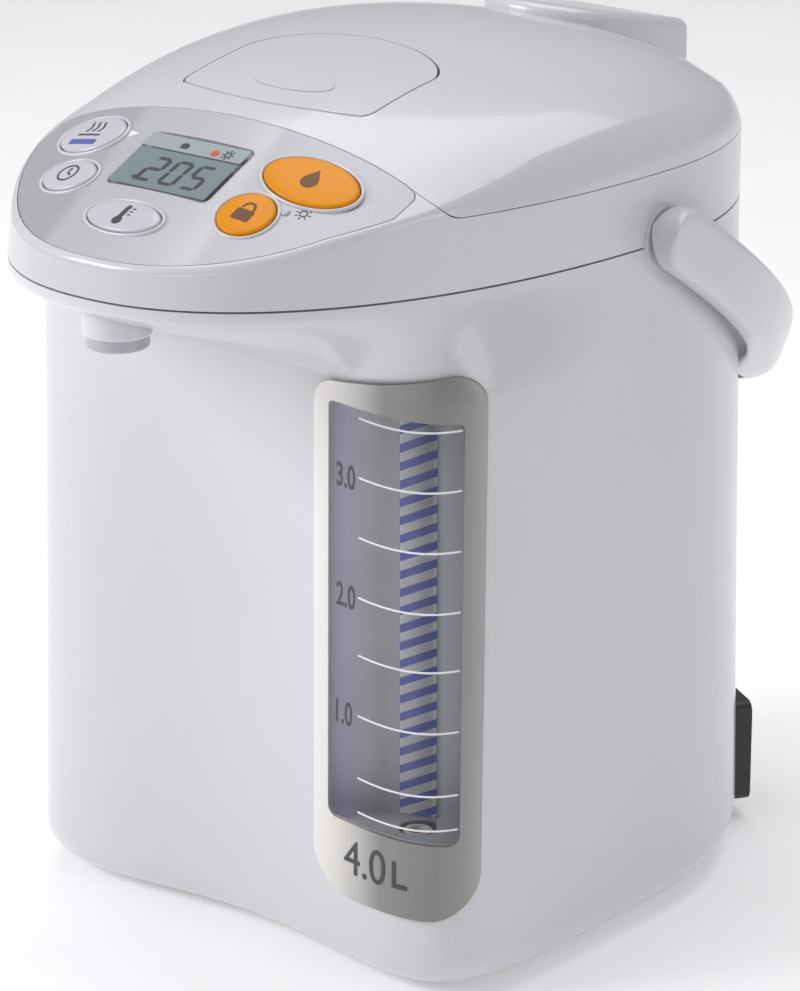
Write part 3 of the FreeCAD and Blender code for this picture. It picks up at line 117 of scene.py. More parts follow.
BUTTONS = {
    "button_dispense": (49.0, -124.0, 36.5, 21.0),
    "button_unlock": (38.8, -144.7, 20.0, 20.0),
    "button_reboil": (-50.8, -123.0, 29.0, 20.0),
    "button_timer": (-41.6, -144.3, 23.0, 16.0),
    "button_temp_set": (-1.6, -160.0, 31.0, 15.0),
}
DISPLAY_SPOT = (-1.0, -133.6)
LAMP_SPOT = (50.0, -138.0)

# %% Plan outlines


def reach_at(turn, half_width, front, back, power):
    """Distance from the axis to a superellipse in one direction."""
    behind = np.sin(turn) >= 0
    depth = np.where(behind, back, front)
    exponent = np.where(behind, 2.0, power)
    across = np.abs(np.cos(turn)) / half_width
    along = np.abs(np.sin(turn)) / depth
    return (across ** exponent + along ** exponent) ** (-1.0 / exponent)


def beak_plan(turn, inset=0.0):
    """Plan of the seam outline, with the beak in front."""
    reach = reach_at(turn, HALF_WIDTH - inset, BEAK_REACH - inset, BACK_REACH - inset, BEAK_POWER)
    return reach * np.cos(turn), reach * np.sin(turn)


def case_plan(turn, level, inset=0.0):
    """Plan of the case wall at a level."""
    flare = 1.0 + BASE_FLARE * (1.0 - level / SEAM_LEVEL)
    half = HALF_WIDTH * flare - inset
    front = WALL_REACH * flare - inset
    reach = reach_at(turn, half, front, BACK_REACH * flare - inset, WALL_POWER)
    x = reach * np.cos(turn)
    y = reach * np.sin(turn)
    middle = np.cos(0.5 * np.pi * np.clip(x / half, -1, 1)) ** 2
    y = y + np.where(y < 0, WALL_HOLLOW * (-np.minimum(y, 0) / front) ** 6 * middle, 0.0)
    return x, y


def spread_turns(count):
    """Directions spaced evenly along the case wall, so that its corners get enough points."""
    fine = np.linspace(0, 2 * np.pi, 4001)
    x, y = case_plan(fine, 120.0)
    run = np.concatenate([[0], np.cumsum(np.hypot(np.diff(x), np.diff(y)))])
    bx, by = beak_plan(fine)
    beak_run = np.concatenate([[0], np.cumsum(np.hypot(np.diff(bx), np.diff(by)))])
    mixed = run / run[-1] + beak_run / beak_run[-1]
    return np.interp(np.linspace(0, mixed[-1], count, endpoint=False), mixed, fine)


TURNS = spread_turns(288)

# %% [markdown]
# The crown is the common top surface of lid and beak: a smooth profile along the middle, a round
# fall to the sides and a softer edge towards the rim.

# %% Crown surface
CROWN_PROFILE = ((-183, 51.3), (-150, 35.8), (-110, 17.0), (-55, 3.6), (0, 0.0), (55, 7.4),
                 (114, 32.8))
CROWN_SIDE_RADIUS = 347.8
BEAK_SIDE_RADIUS = 256.1
RIM_DROP = 8.7
RIM_POWER = 9.8


def spline_slopes(x, y):
    """Second derivatives of the natural cubic spline through some points."""
    count = len(x)
    matrix = np.eye(count)
    right = np.zeros(count)
    for i in range(1, count - 1):
        left, ahead = x[i] - x[i - 1], x[i + 1] - x[i]
        matrix[i, i - 1:i + 2] = left, 2 * (left + ahead), ahead
        right[i] = 6 * ((y[i + 1] - y[i]) / ahead - (y[i] - y[i - 1]) / left)
    return np.linalg.solve(matrix, right)


KNOT_Y = np.array([point[0] for point in CROWN_PROFILE], float)
KNOT_Z = CROWN_TOP - np.array([point[1] for point in CROWN_PROFILE], float)
KNOT_BEND = spline_slopes(KNOT_Y, KNOT_Z)


def middle_level(y):
    """Height of the crown along its middle line."""
    y = np.asarray(y, float)
    i = np.clip(np.searchsorted(KNOT_Y, y) - 1, 0, len(KNOT_Y) - 2)
    span = KNOT_Y[i + 1] - KNOT_Y[i]
    a = (KNOT_Y[i + 1] - y) / span
    b = (y - KNOT_Y[i]) / span
    bend = ((a ** 3 - a) * KNOT_BEND[i] + (b ** 3 - b) * KNOT_BEND[i + 1]) * span ** 2 / 6
    return a * KNOT_Z[i] + b * KNOT_Z[i + 1] + bend


def crown_level(x, y):
    """Height of the crown at a plan point."""
    share = np.clip((y + 150.0) / 200.0, 0, 1)
    radius = BEAK_SIDE_RADIUS + (CROWN_SIDE_RADIUS - BEAK_SIDE_RADIUS) * share
    bx, by = beak_plan(np.arctan2(y, x))
    rim = np.hypot(x, y) / np.hypot(bx, by)
    blend = np.clip((y + 140.0) / 60.0, 0, 1)
    return middle_level(y) - x * x / (2 * radius) - RIM_DROP * np.minimum(rim, 1.03) ** RIM_POWER * blend


def on_crown(x, y, lift=0.0):
    """Matrix at a crown point: X across, Z along the surface normal."""
    step = 0.5
    slope_x = float(crown_level(x + step, y) - crown_level(x - step, y)) / (2 * step)
    slope_y = float(crown_level(x, y + step) - crown_level(x, y - step)) / (2 * step)
    normal = Vector((-slope_x, -slope_y, 1)).normalized()
    across = (Vector((1, 0, 0)) - normal * normal.x).normalized()
    along = normal.cross(across)
    spot = Vector((x, y, float(crown_level(x, y)))) + normal * lift
    matrix = Matrix((across, along, normal)).transposed().to_4x4()
    matrix.translation = spot
    return matrix


print("crown at the middle and at the beak tip:", crown_level(0, 0), crown_level(0, -178))

# %% [markdown]
# ## Mesh helpers
#
# A skin is a stack of rings. Closed solids are cut and joined with booleans, as in the workshop.

# %% Mesh helpers


def new_object(name, points, faces):
    """A mesh object from points in millimetres."""
    mesh = bpy.data.meshes.new(name)
    mesh.from_pydata([tuple(float(v) * MM for v in point) for point in points], [], faces)
    mesh.update()
    obj = bpy.data.objects.new(name, mesh)
    bpy.context.scene.collection.objects.link(obj)
    return obj


def stack(name, rings, closed_ends=True):
    """A closed skin through rings that all have the same number of points."""
    count = len(rings[0])
    points = [point for ring in rings for point in ring]
    faces = []
    for row in range(len(rings) - 1):
        for i in range(count):
            j = (i + 1) % count
            faces.append((row * count + i, row * count + j, (row + 1) * count + j, (row + 1) * count + i))
    if closed_ends:
        faces.append(tuple(reversed(range(count))))
        top = (len(rings) - 1) * count
        faces.append(tuple(range(top, top + count)))
    return outward(new_object(name, points, faces))


def outward(obj):
    """Point all the faces outwards."""
    work = bmesh.new()
    work.from_mesh(obj.data)
    bmesh.ops.recalc_face_normals(work, faces=work.faces)
    work.to_mesh(obj.data)
    work.free()
    return obj


def combine(obj, tool, operation="DIFFERENCE"):
    """Cut, join or intersect with another closed solid, which is used up."""
    modifier = obj.modifiers.new("combine", "BOOLEAN")
    modifier.operation = operation
    modifier.solver = "MANIFOLD"
    modifier.object = tool
    bake(obj)
    bpy.data.objects.remove(tool)
    return obj


def bake(obj):
    """Apply every modifier of an object."""
    graph = bpy.context.evaluated_depsgraph_get()
    mesh = bpy.data.meshes.new_from_object(obj.evaluated_get(graph))
    obj.modifiers.clear()
    obj.data = mesh
    return obj


def smooth(obj, angle=32.0):
    """Smooth shading that stops at real edges."""
    obj.data.shade_smooth()
    obj.data.set_sharp_from_angle(angle=math.radians(angle))
    return obj


def prism(name, plan, low, high):
    """A plan outline raised between two levels."""
    return stack(name, [[(x, y, low) for x, y in plan], [(x, y, high) for x, y in plan]])


def disc(name, radius, start, end, count=48):
    """A round bar between two points."""
    start, end = Vector(start), Vector(end)
    turn = (end - start).to_track_quat("Z", "Y").to_matrix()
    rings = []
    for spot in (start, end):
        rings.append([spot + turn @ Vector((radius * math.cos(a), radius * math.sin(a), 0))
                      for a in np.linspace(0, 2 * math.pi, count, endpoint=False)])
    return stack(name, rings)


# %% [markdown]
# ## The case
#
# The wall tapers slightly, rolls in at the base and swells into the lip under the beak.

# %% Case skin


def lip_share(level):
    """How far the wall has swollen into the beak outline at a level."""
    rise = np.clip((level - LIP_FOOT) / (LIP_EDGE - LIP_FOOT), 0, 1)
    return 0.42 * rise + 0.58 * rise * rise * (3 - 2 * rise)


def case_rings(inset, low, high):
    corner = BASE_ROUND - inset
    rings = []
    for lean in np.radians(np.linspace(90, 0, 13)):
        tuck = corner * (1 - math.cos(lean))
        level = low + corner * (1 - math.sin(lean))
        x, y = case_plan(TURNS, level, inset + tuck)
        rings.append([(a, b, level) for a, b in zip(x, y)])
    wall_top = LIP_FOOT + 0.8 * inset
    levels = list(np.linspace(rings[-1][0][2], wall_top, 12)[1:])
    levels += list(np.linspace(wall_top, high, 30)[1:])
    for level in levels:
        share = float(lip_share(level - 0.6 * inset))
        wall_x, wall_y = case_plan(TURNS, level, inset)
        beak_x, beak_y = beak_plan(TURNS, inset)
        x = wall_x + (beak_x - wall_x) * share
        y = wall_y + (beak_y - wall_y) * share
        rings.append([(a, b, level) for a, b in zip(x, y)])
    return rings


def soft_rectangle(width, height, corner, steps=8):
    """Outline of a rectangle with round corners, centred."""
    points = []
    for side_x, side_y, first in ((1, 1, 0), (-1, 1, 90), (-1, -1, 180), (1, -1, 270)):
        for angle in np.radians(np.linspace(first, first + 90, steps + 1)):
            points.append((side_x * (width / 2 - corner) + corner * math.cos(angle),
                           side_y * (height / 2 - corner) + corner * math.sin(angle)))
    return points


def window_matrix():
    """Matrix of the window plane: X along the wall, Y up, Z outwards."""
    turn = math.radians(WINDOW_TURN)
    along = Vector((math.cos(turn), math.sin(turn), 0))
    out = Vector((math.sin(turn), -math.cos(turn), 0))
    centre = Vector((WINDOW_LEFT, 4.0 - WALL_REACH, 0)) + along * (WINDOW_WIDTH / 2)
    matrix = Matrix((along, Vector((0, 0, 1)), out)).transposed().to_4x4()
    matrix.translation = centre
    return matrix


WINDOW = window_matrix()


def set_in(matrix, outline, low, high, name="cutter"):
    """An outline raised along the normal of a matrix."""
    rings = [[matrix @ Vector((x, y, z)) for x, y in outline] for z in (low, high)]
    return stack(name, rings)


def pane_outline(left, right, low, high, rise, corners):
    """Outline on the window plane, with round corners and a rising top edge."""
    points = []
    spots = ((right, high + rise, 1, 1), (left, high, -1, 1), (left, low, -1, -1), (right, low, 1, -1))
    for (x, y, side_x, side_y), corner, first in zip(spots, corners, (0, 90, 180, 270)):
        for angle in np.radians(np.linspace(first, first + 90, 9)):
            points.append((x - side_x * corner + corner * math.cos(angle),
                           y - side_y * corner + corner * math.sin(angle)))
    return points


band = stack("frame_band", case_rings(-FRAME_PROUD, CASE_BOTTOM, 236.0))
combine(band, stack("band_inside", case_rings(0.2, CASE_BOTTOM, 240.0)))
outline = pane_outline(*FRAME_SIDES, *FRAME_ENDS, FRAME_RISE, (10, 9, 16, 17))
combine(band, set_in(WINDOW, outline, -30, 30), "INTERSECT")
combine(band, set_in(WINDOW, pane_outline(*GLASS_SIDES, *GLASS_ENDS, 0.0, (2, 2, 4, 4)), -35, 35))
frame_skin = smooth(band)
print("window frame faces:", len(frame_skin.data.polygons))

case = stack("case_skin", case_rings(0.0, CASE_BOTTOM, SEAM_LEVEL - SEAM_GAP))
combine(case, stack("inside", case_rings(SHELL_WALL, CASE_BOTTOM + SHELL_WALL, SEAM_LEVEL + 3)))
opening = [(x, y + 133.5) for x, y in soft_rectangle(57, 151, 4)]
combine(case, set_in(WINDOW, opening, -40, 20))
x, y = case_plan(TURNS, 0.0, BASE_ROUND + 4.0)
combine(case, prism("base_opening", list(zip(x, y)), -5, 20))
combine(case, disc("spout_hole", 12.1, (0, -166, 215), (0, -166, 275)))
inlet_reach = float(np.hypot(*case_plan(np.radians(INLET_TURN), 30.0)))
inlet = Matrix.Rotation(math.radians(INLET_TURN), 4, "Z") @ Matrix.Rotation(math.radians(90), 4, "Y")
inlet = inlet @ Matrix.Rotation(math.radians(90), 4, "Z")
block = [(x, y + 27.0) for x, y in soft_rectangle(41.6, 39.6, 4)]
combine(case, set_in(inlet, block, inlet_reach - 16, inlet_reach + 10))
smooth(case)
print("case skin faces:", len(case.data.polygons))

# %% [markdown]
# ## Collar, lid and panel
#
# One solid of the whole upper body, below the crown, is cut into the collar with the beak, the
# lid and the thin control panel.

# %% Upper body
POLE_Y = -25.0
EDGE_STEPS = (0.0, 0.12, 0.35, 0.75, 1.4, 2.3, 3.5, 5.0, 7.0)


def edge_round(y):
    """Radius of the soft edge between the side and the crown."""
    return 1.6 + 6.4 * np.clip((y + 112.0) / 50.0, 0, 1)


def deck_edge(inset):
    """Plan of the crown's edge, where the side has leaned in at the beak."""
    ahead = np.maximum(0, -np.sin(TURNS)) ** LEAN_POWER
    x, y = beak_plan(TURNS, inset)
    level = crown_level(x, y + 4.0 * ahead)
    return x, y + BEAK_LEAN * (level - SEAM_LEVEL) / (LID_LEVEL - SEAM_LEVEL) * ahead


def upper_body(name, inset=0.0, drop=0.0, low=SEAM_LEVEL + SEAM_GAP):
    """The upper body as a solid: side, soft edge and crown."""
    ahead = np.maximum(0, -np.sin(TURNS)) ** LEAN_POWER
    plan_x, plan_y = beak_plan(TURNS, inset)

    def leaned(level):
        return plan_y + BEAK_LEAN * (level - SEAM_LEVEL) / (LID_LEVEL - SEAM_LEVEL) * ahead

    radius = edge_round(plan_y)
    edge_y = leaned(crown_level(plan_x, plan_y + 4.0 * ahead) - drop)
    edge_level = crown_level(plan_x, edge_y) - drop - radius
    rings = []
    for share in (0.0, 0.15, 0.4, 0.7, 0.9, 0.97):
        level = low + (edge_level - low) * share
        rings.append(list(zip(plan_x, leaned(level), level)))
    reach = np.hypot(plan_x, edge_y - POLE_Y)
    for inward in list(EDGE_STEPS) + [8.0]:
        scale = 1 - np.minimum(inward, radius) / reach if inward < 8.0 else 1 - radius / reach
        x = plan_x * scale
        y = POLE_Y + (edge_y - POLE_Y) * scale
        left = np.maximum(radius - np.minimum(inward, radius), 0) if inward < 8.0 else 0 * radius
        level = crown_level(x, y) - drop - (radius - np.sqrt(np.maximum(radius ** 2 - left ** 2, 0)))
        rings.append(list(zip(x, y, level)))
    for part in (0.9, 0.85, 0.8, 0.75, 0.7, 0.64, 0.57, 0.5, 0.42, 0.33, 0.24, 0.15, 0.07, 0.02):
        scale = (1 - radius / reach) * part
        x = plan_x * scale
        y = POLE_Y + (edge_y - POLE_Y) * scale
        rings.append(list(zip(x, y, crown_level(x, y) - drop)))
    return stack(name, rings)


def side_prism(name, grow):
    """Room of the lid in side view, with a round corner at the front joint."""
    corner = 9.0
    low = LID_LEVEL - grow
    front = -LID_FRONT - grow
    profile = [(150, low), (150, 360), (front, 360), (front, low + corner)]
    for angle in np.radians(np.linspace(180, 270, 10)[1:]):
        profile.append((front + corner + corner * math.cos(angle), low + corner + corner * math.sin(angle)))
    rings = [[(x, y, z) for y, z in profile] for x in (-140, 140)]
    return stack(name, rings)


def lever_plan(grow):
    """Plan of the opening lever: bowed front, straight sides, round back."""
    half = LEVER_HALF + grow
    front, back = -96.0 - grow, -35.0 + grow
    points = []
    for x in np.linspace(-half + 6, half - 6, 25):
        points.append((x, front + 6.0 * (x / (half - 6)) ** 2))
    for angle in np.radians((-50, -25, 0)):
        points.append((half - 6 + 6 * math.cos(angle), front + 12 + 6 * math.sin(angle)))
    for angle in np.linspace(0, math.pi, 33):
        points.append((half * math.cos(angle), back - 20 + 20 * math.sin(angle) ** 1.0))
    for angle in np.radians((180, 205, 230)):
        points.append((-half + 6 + 6 * math.cos(angle), front + 12 + 6 * math.sin(angle)))
    return points


def panel_plan(grow):
    """Leaf-shaped plan of the control panel: it reaches the edge of the deck, with blunt tips."""
    x, y = deck_edge(PANEL_MARGIN - grow)
    limit = PANEL_HALF + grow
    back = PANEL_BACK - 1.0 - grow
    chosen = y < -back
    x, y = np.clip(x[chosen], -limit, limit), y[chosen]
    order = np.argsort(np.arctan2(y + 60, x))
    points = list(zip(x[order], y[order]))
    corner = 3.0
    for angle in np.radians((0, 30, 60, 90)):
        points.append((limit - corner + corner * math.cos(angle), -back - corner + corner * math.sin(angle)))
    for angle in np.radians((90, 120, 150, 180)):
        points.append((-limit + corner + corner * math.cos(angle), -back - corner + corner * math.sin(angle)))
    return [point for point in points if point[1] < -back + 0.01]


def ellipse(width, depth, count=64):
    return [(width / 2 * math.cos(a), depth / 2 * math.sin(a))
            for a in np.linspace(0, 2 * math.pi, count, endpoint=False)]


GAP = 0.3
collar = upper_body("collar_skin")
combine(collar, side_prism("lid_room", GAP))
combine(collar, disc("mouth", MOUTH_RADIUS, (0, 0, 240), (0, 0, 330), 160))
seat = prism("seat", panel_plan(0.3), 255, 330)
combine(seat, upper_body("below", 0.0, PANEL_THICK + 0.1, 245))
combine(collar, seat)
for side in (-1, 1):
    for part, radius, root, end in (("boss", BOSS_RADIUS, 92, 106.6), ("pin", PIN_RADIUS, 100, 114.5)):
        ends = [(side * x, *HANDLE_AT[1:]) for x in (root, end)]
        combine(collar, disc(part, radius, *ends), "UNION")
    lug_x = side * 15.4
    ends = [(x, HINGE_Y, HINGE_LEVEL) for x in (lug_x, lug_x + side * 6.5)]
    combine(collar, disc("lug", BARREL_RADIUS, *ends), "UNION")
    web = [(lug_x, 106), (lug_x + side * 6.5, 106), (lug_x + side * 6.5, 113), (lug_x, 113)]
    combine(collar, prism("web", web, 271, 284), "UNION")
smooth(collar)

panel = prism("panel_skin", panel_plan(0.0), 240, 330)
combine(panel, upper_body("above", 0.0, 0.0, 238), "INTERSECT")
combine(panel, upper_body("below", 0.0, PANEL_THICK, 230))
display_hole = set_in(on_crown(*DISPLAY_SPOT), soft_rectangle(46, 29, 3), -8, 6)
combine(panel, display_hole)
for name, (x, y, wide, deep) in BUTTONS.items():
    combine(panel, set_in(on_crown(x, y), ellipse(wide + 0.7, deep + 0.7), -8, 6))
combine(panel, set_in(on_crown(*LAMP_SPOT), ellipse(3.2, 3.2, 24), -8, 6))
smooth(panel)
print("collar and panel faces:", len(collar.data.polygons), len(panel.data.polygons))

# %% [markdown]
# The hump over the hinge has a round nose, soft edges and a plane top that falls to the back.

# %% Lid with its hump


def hump(name, shrink=0.0):
    """A rounded wedge over the hinge."""
    rings = []
    half, nose, back = HUMP_HALF - shrink, HUMP_NOSE + shrink, HUMP_BACK
    base = []
    for angle in np.linspace(math.pi, 2 * math.pi, 41):
        base.append((half * math.cos(angle), nose + 20 + 20 * math.sin(angle)))
    for angle in np.radians(np.linspace(0, 90, 7)):
        base.append((half - 3 + 3 * math.cos(angle), back - 3 + 3 * math.sin(angle)))
    for angle in np.radians(np.linspace(90, 180, 7)):
        base.append((-half + 3 + 3 * math.cos(angle), back - 3 + 3 * math.sin(angle)))
    soft = 4.0
    middle = (0.0, 80.0)
    for share in [0.0] + list(np.linspace(0, 1, 9)):
        tuck = soft * (1 - math.cos(share * math.pi / 2))
        ring = []
        for x, y in base:
            run = math.hypot(x - middle[0], y - middle[1])
            scale = 1 - tuck / run
            px, py = middle[0] + (x - middle[0]) * scale, middle[1] + (y - middle[1]) * scale
            top = 311.0 - shrink - 13.0 * (py - 56) / 60.0
            level = top - soft * (1 - math.sin(share * math.pi / 2))
            ring.append((px, py, level if rings else 283.0 + shrink))
        rings.append(ring)
    return stack(name, rings)


lid = upper_body("lid_skin", 0.0, 0.0, 240)
combine(lid, side_prism("lid_room", 0.0), "INTERSECT")
hollow = upper_body("hollow", 2.8, 2.8, 230)
front_wall = [(-150, -220), (150, -220), (150, -LID_FRONT + 2.8), (-150, -LID_FRONT + 2.8)]
combine(hollow, prism("front_wall", front_wall, 200, 340))
pan = prism("pan", lever_plan(0.9 + 2.8), 240, 330)
combine(pan, upper_body("pan_floor", 0.0, PAN_DEPTH + 2.8, 230))
combine(hollow, pan)
combine(lid, hollow)
sunk = prism("sunk", lever_plan(0.7), 240, 330)
combine(sunk, upper_body("sunk_floor", 0.0, PAN_DEPTH, 230))
combine(lid, sunk)
cover = hump("hump")
combine(cover, hump("hump_inside", 2.4))
combine(lid, cover, "UNION")
for side in (-1, 1):
    slot = [(side * 15, 97), (side * 22.4, 97), (side * 22.4, 131), (side * 15, 131)]
    combine(lid, prism("lug_slot", slot, 262, 291.6))
under = [(-16, 97), (16, 97), (16, 131), (-16, 131)]
combine(lid, prism("under_slot", under, 262, 280))
barrel_ends = [(end, HINGE_Y, HINGE_LEVEL) for end in (-BARREL_HALF, BARREL_HALF)]
combine(lid, disc("barrel", BARREL_RADIUS, *barrel_ends), "UNION")
smooth(lid)
print("lid faces:", len(lid.data.polygons))

lever = prism("lever_skin", lever_plan(0.0), 240, 330)
combine(lever, upper_body("above", 0.0, 0.0, 238), "INTERSECT")
combine(lever, upper_body("below", 0.0, 2.8, 230))
smooth(lever)

# %% [markdown]
# ## The handle
#
# A bail of soft section, wider at the grip, with a finger pocket on its underside.

# %% Handle skin


def bail_point(half, reach, angle):
    across = abs(math.cos(angle)) ** BAIL_POWER
    along = abs(math.sin(angle)) ** BAIL_POWER
    return Vector((math.copysign(half * across, math.cos(angle)), 6.0 + (reach - 6.0) * along, 0))


def bail_section(outer, inner, half_high, power, count=40):
    """Ring of a soft rectangle between an outer and an inner point of the bail."""
    middle = (outer + inner) / 2
    across = (outer - inner) / 2
    ring = []
    for a in np.linspace(0, 2 * math.pi, count, endpoint=False):
        u = math.copysign(abs(math.cos(a)) ** (2 / power), math.cos(a))
        v = math.copysign(abs(math.sin(a)) ** (2 / power), math.sin(a))
        ring.append(middle + across * u + Vector((0, 0, half_high * v)))
    return ring


def bail_rings():
    rings = []
    inner_half = BAIL_HALF - BAIL_THICK
    for side in (1, -1):
        end = []
        for y in (-11.49, -11.3, -10.8, -10.0, -8.5, -6.5, -4.0, -1.5, 1.5, 4.0):
            tall = math.sqrt(BAIL_HIGH ** 2 - y * y) if y < 0 else BAIL_HIGH
            end.append(bail_section(Vector((side * BAIL_HALF, y, 0)), Vector((side * inner_half, y, 0)),
                                    tall, 4.0))
        if side == 1:
            rings += end
            for angle in np.linspace(0.02, math.pi - 0.02, 90):
                rings.append(bail_section(bail_point(BAIL_HALF, BAIL_REACH, angle),
                                          bail_point(inner_half, BAIL_REACH - BAIL_DEEP, angle),
                                          BAIL_HIGH, 4.0))
        else:
            rings += [list(ring) for ring in reversed(end)]
    return rings


def mirror_fix(rings):
    """Keep the sense of every ring the same along the sweep."""
    fixed = [rings[0]]
    for ring in rings[1:]:
        before = fixed[-1]
        shifts = []
        for candidate in (ring, [ring[-i % len(ring)] for i in range(len(ring))]):
            shifts.append((sum((p - q).length for p, q in zip(before, candidate)), candidate))
        fixed.append(min(shifts, key=lambda item: item[0])[1])
    return fixed


handle = stack("handle_skin", mirror_fix(bail_rings()))
pocket = []
for angle in np.linspace(math.radians(58), math.radians(122), 40):
    outer = bail_point(BAIL_HALF - POCKET_WALL, BAIL_REACH - POCKET_WALL, angle)
    inner = bail_point(BAIL_HALF - BAIL_THICK + POCKET_WALL, BAIL_REACH - BAIL_DEEP + POCKET_WALL, angle)
    ring = bail_section(outer, inner, 9.0, 3.0)
    pocket.append([point - Vector((0, 0, 8.0)) for point in ring])
combine(handle, stack("pocket", pocket))
tilt = Matrix.Translation(Vector(HANDLE_AT) * MM) @ Matrix.Rotation(math.radians(-HANDLE_DROOP), 4, "X")
handle.data.transform(tilt)
smooth(handle, 40)
print("handle faces:", len(handle.data.polygons))

# %% [markdown]
# ## Buttons, rims and marks
#
# The button caps are domed. Marks are thin prints pressed onto the surface below them: generic
# signs on the buttons, numbers on the level window.

# %% Button caps and rims


def dome(name, matrix, wide, deep, height):
    """A low domed cap with a soft edge."""
    rings = []
    for scale, level in ((1.0, -3.0), (1.0, height - 1.0), (0.985, height - 0.45), (0.95, height - 0.12),
                         (0.9, height), (0.75, height + 0.22), (0.5, height + 0.42), (0.25, height + 0.52),
                         (0.05, height + 0.55)):
        rings.append([matrix @ Vector((x * scale, y * scale, level)) for x, y in ellipse(wide, deep)])
    return smooth(stack(name, rings), 60)


def rim(name, matrix, wide, deep, width, height):
    """A low round rim around a button."""
    rings = []
    for angle in np.linspace(0, 2 * math.pi, 13):
        grow = width * (0.5 + 0.5 * math.cos(angle))
        level = -0.6 + (height + 0.6) * max(0.0, math.sin(angle)) ** 0.7
        rings.append([matrix @ Vector((x, y, level)) for x, y in ellipse(wide + 2 * grow, deep + 2 * grow)])
    return smooth(stack(name, rings, closed_ends=False), 70)


caps = {}
rims = []
for name, (x, y, wide, deep) in BUTTONS.items():
    spot = on_crown(x, y)
    caps[name] = dome(name + "_cap", spot, wide, deep, 1.1)
    rims.append(rim(name + "_rim", spot, wide + 0.9, deep + 0.9, 1.3, 0.55))
lamp = dome("lamp_cap", on_crown(*LAMP_SPOT), 3.0, 3.0, 0.4)

# %% Print shapes


def filled(outline):
    """Points and triangles of a flat outline."""
    points = [Vector((x, y, 0)) for x, y in outline]
    return points, [tuple(face) for face in tessellate_polygon([points])]


def stroke(path, width):
    """A line of some width along a path, with square ends."""
    path = [Vector((x, y)) for x, y in path]
    points, faces = [], []
    for i, spot in enumerate(path):
        ahead = path[min(i + 1, len(path) - 1)] - path[max(i - 1, 0)]
        side = Vector((-ahead.y, ahead.x)).normalized() * width / 2
        points += [Vector((*(spot + side), 0)), Vector((*(spot - side), 0))]
    for i in range(len(path) - 1):
        faces.append((2 * i, 2 * i + 1, 2 * i + 3, 2 * i + 2))
    return points, faces


def bow(x, y, radius, first, last, count=18):
    """Points along an arc, for strokes."""
    return [(x + radius * math.cos(a), y + radius * math.sin(a))
            for a in np.radians(np.linspace(first, last, count))]


def lettering(text, height, x=0.0, y=0.0, narrow=1.0, bold=0.0):
    """Numbers as a flat mesh, by their lower left corner."""
    curve = bpy.data.curves.new("lettering", "FONT")
    curve.body = text
    curve.size = height / 0.7
    curve.offset = bold * curve.size
    holder = bpy.data.objects.new("lettering", curve)
    bpy.context.scene.collection.objects.link(holder)
    mesh = bpy.data.meshes.new_from_object(holder.evaluated_get(bpy.context.evaluated_depsgraph_get()))
    left = min(vertex.co.x for vertex in mesh.vertices)
    points = [Vector(((vertex.co.x - left) * narrow + x, vertex.co.y + y, 0)) for vertex in mesh.vertices]
    faces = [tuple(face.vertices) for face in mesh.polygons]
    bpy.data.objects.remove(holder)
    return points, faces


def shifted(shape, x, y):
    points, faces = shape
    return [point + Vector((x, y, 0)) for point in points], faces


def join(shapes):
    points, faces = [], []
    for some_points, some_faces in shapes:
        faces += [tuple(i + len(points) for i in face) for face in some_faces]
        points += some_points
    return points, faces


def press(name, shapes, matrix, target, lift=0.06, cuts=0):
    """Lay flat shapes onto the surface of a target, along the matrix's Z."""
    points, faces = join(shapes)
    obj = new_object(name, points, faces)
    if cuts:
        work = bmesh.new()
        work.from_mesh(obj.data)
        bmesh.ops.subdivide_edges(work, edges=work.edges, cuts=cuts, use_grid_fill=True)
        work.to_mesh(obj.data)
        work.free()
    tree = BVHTree.FromObject(target, bpy.context.evaluated_depsgraph_get())
    normal = (matrix.to_3x3() @ Vector((0, 0, 1))).normalized()
    for vertex in obj.data.vertices:
        spot = (matrix @ (vertex.co / MM)) * MM
        hit = tree.ray_cast(spot + normal * 0.04, -normal, 0.08)[0]
        vertex.co = (hit if hit is not None else spot) + normal * lift * MM
    thick = obj.modifiers.new("thick", "SOLIDIFY")
    thick.thickness = lift * MM
    thick.offset = 1.0
    return outward(bake(obj))


def sign_drop():
    outline = [(0, 5.2)] + bow(0, -0.8, 3.2, 28, -208, 25)
    return [filled(outline)]


def sign_padlock():
    body = [(x, y - 1.6) for x, y in soft_rectangle(7.0, 5.2, 0.8, 4)]
    return [filled(body), stroke([(2.2, 0.6)] + bow(0, 2.0, 2.2, 0, 180) + [(-2.2, 1.6)], 0.9)]


def sign_heat():
    waves = []
    for shift in (-3.0, 0.0, 3.0):
        path = [(shift + 0.8 * math.sin(t * 4.4), 5.6 * t - 1.6) for t in np.linspace(0, 1, 14)]
        waves.append(stroke(path, 0.75))
    return waves + [stroke([(-5.5, -3.4), (5.5, -3.4)], 0.8)]


def sign_clock():
    return [stroke(bow(0, 0, 3.9, 0, 360, 40), 0.7), stroke([(0, 2.6), (0, 0)], 0.7),
            stroke([(0, 0), (1.9, -1.1)], 0.7)]


def sign_thermometer():
    tube = soft_rectangle(1.9, 7.4, 0.9, 5)
    marks = [stroke([(2.0, y), (3.4, y)], 0.5) for y in (3.2, 1.6, 0.0)]
    return [filled([(x, y + 1.0) for x, y in tube]), filled(bow(0, -3.2, 1.9, 0, 345, 24))] + marks


SIGNS = {
    "button_dispense": sign_drop(),
    "button_unlock": sign_padlock(),
    "button_reboil": [shifted(shape, 0, 1.8) for shape in sign_heat()],
    "button_timer": sign_clock(),
    "button_temp_set": sign_thermometer(),
}
signs = {}
for name, shapes in SIGNS.items():
    x, y, wide, deep = BUTTONS[name]
    signs[name] = press(name + "_sign", shapes, on_crown(x, y), caps[name], cuts=1)

# %% Display
SEGMENTS = {"2": "abged", "0": "abcdef", "5": "afgcd"}


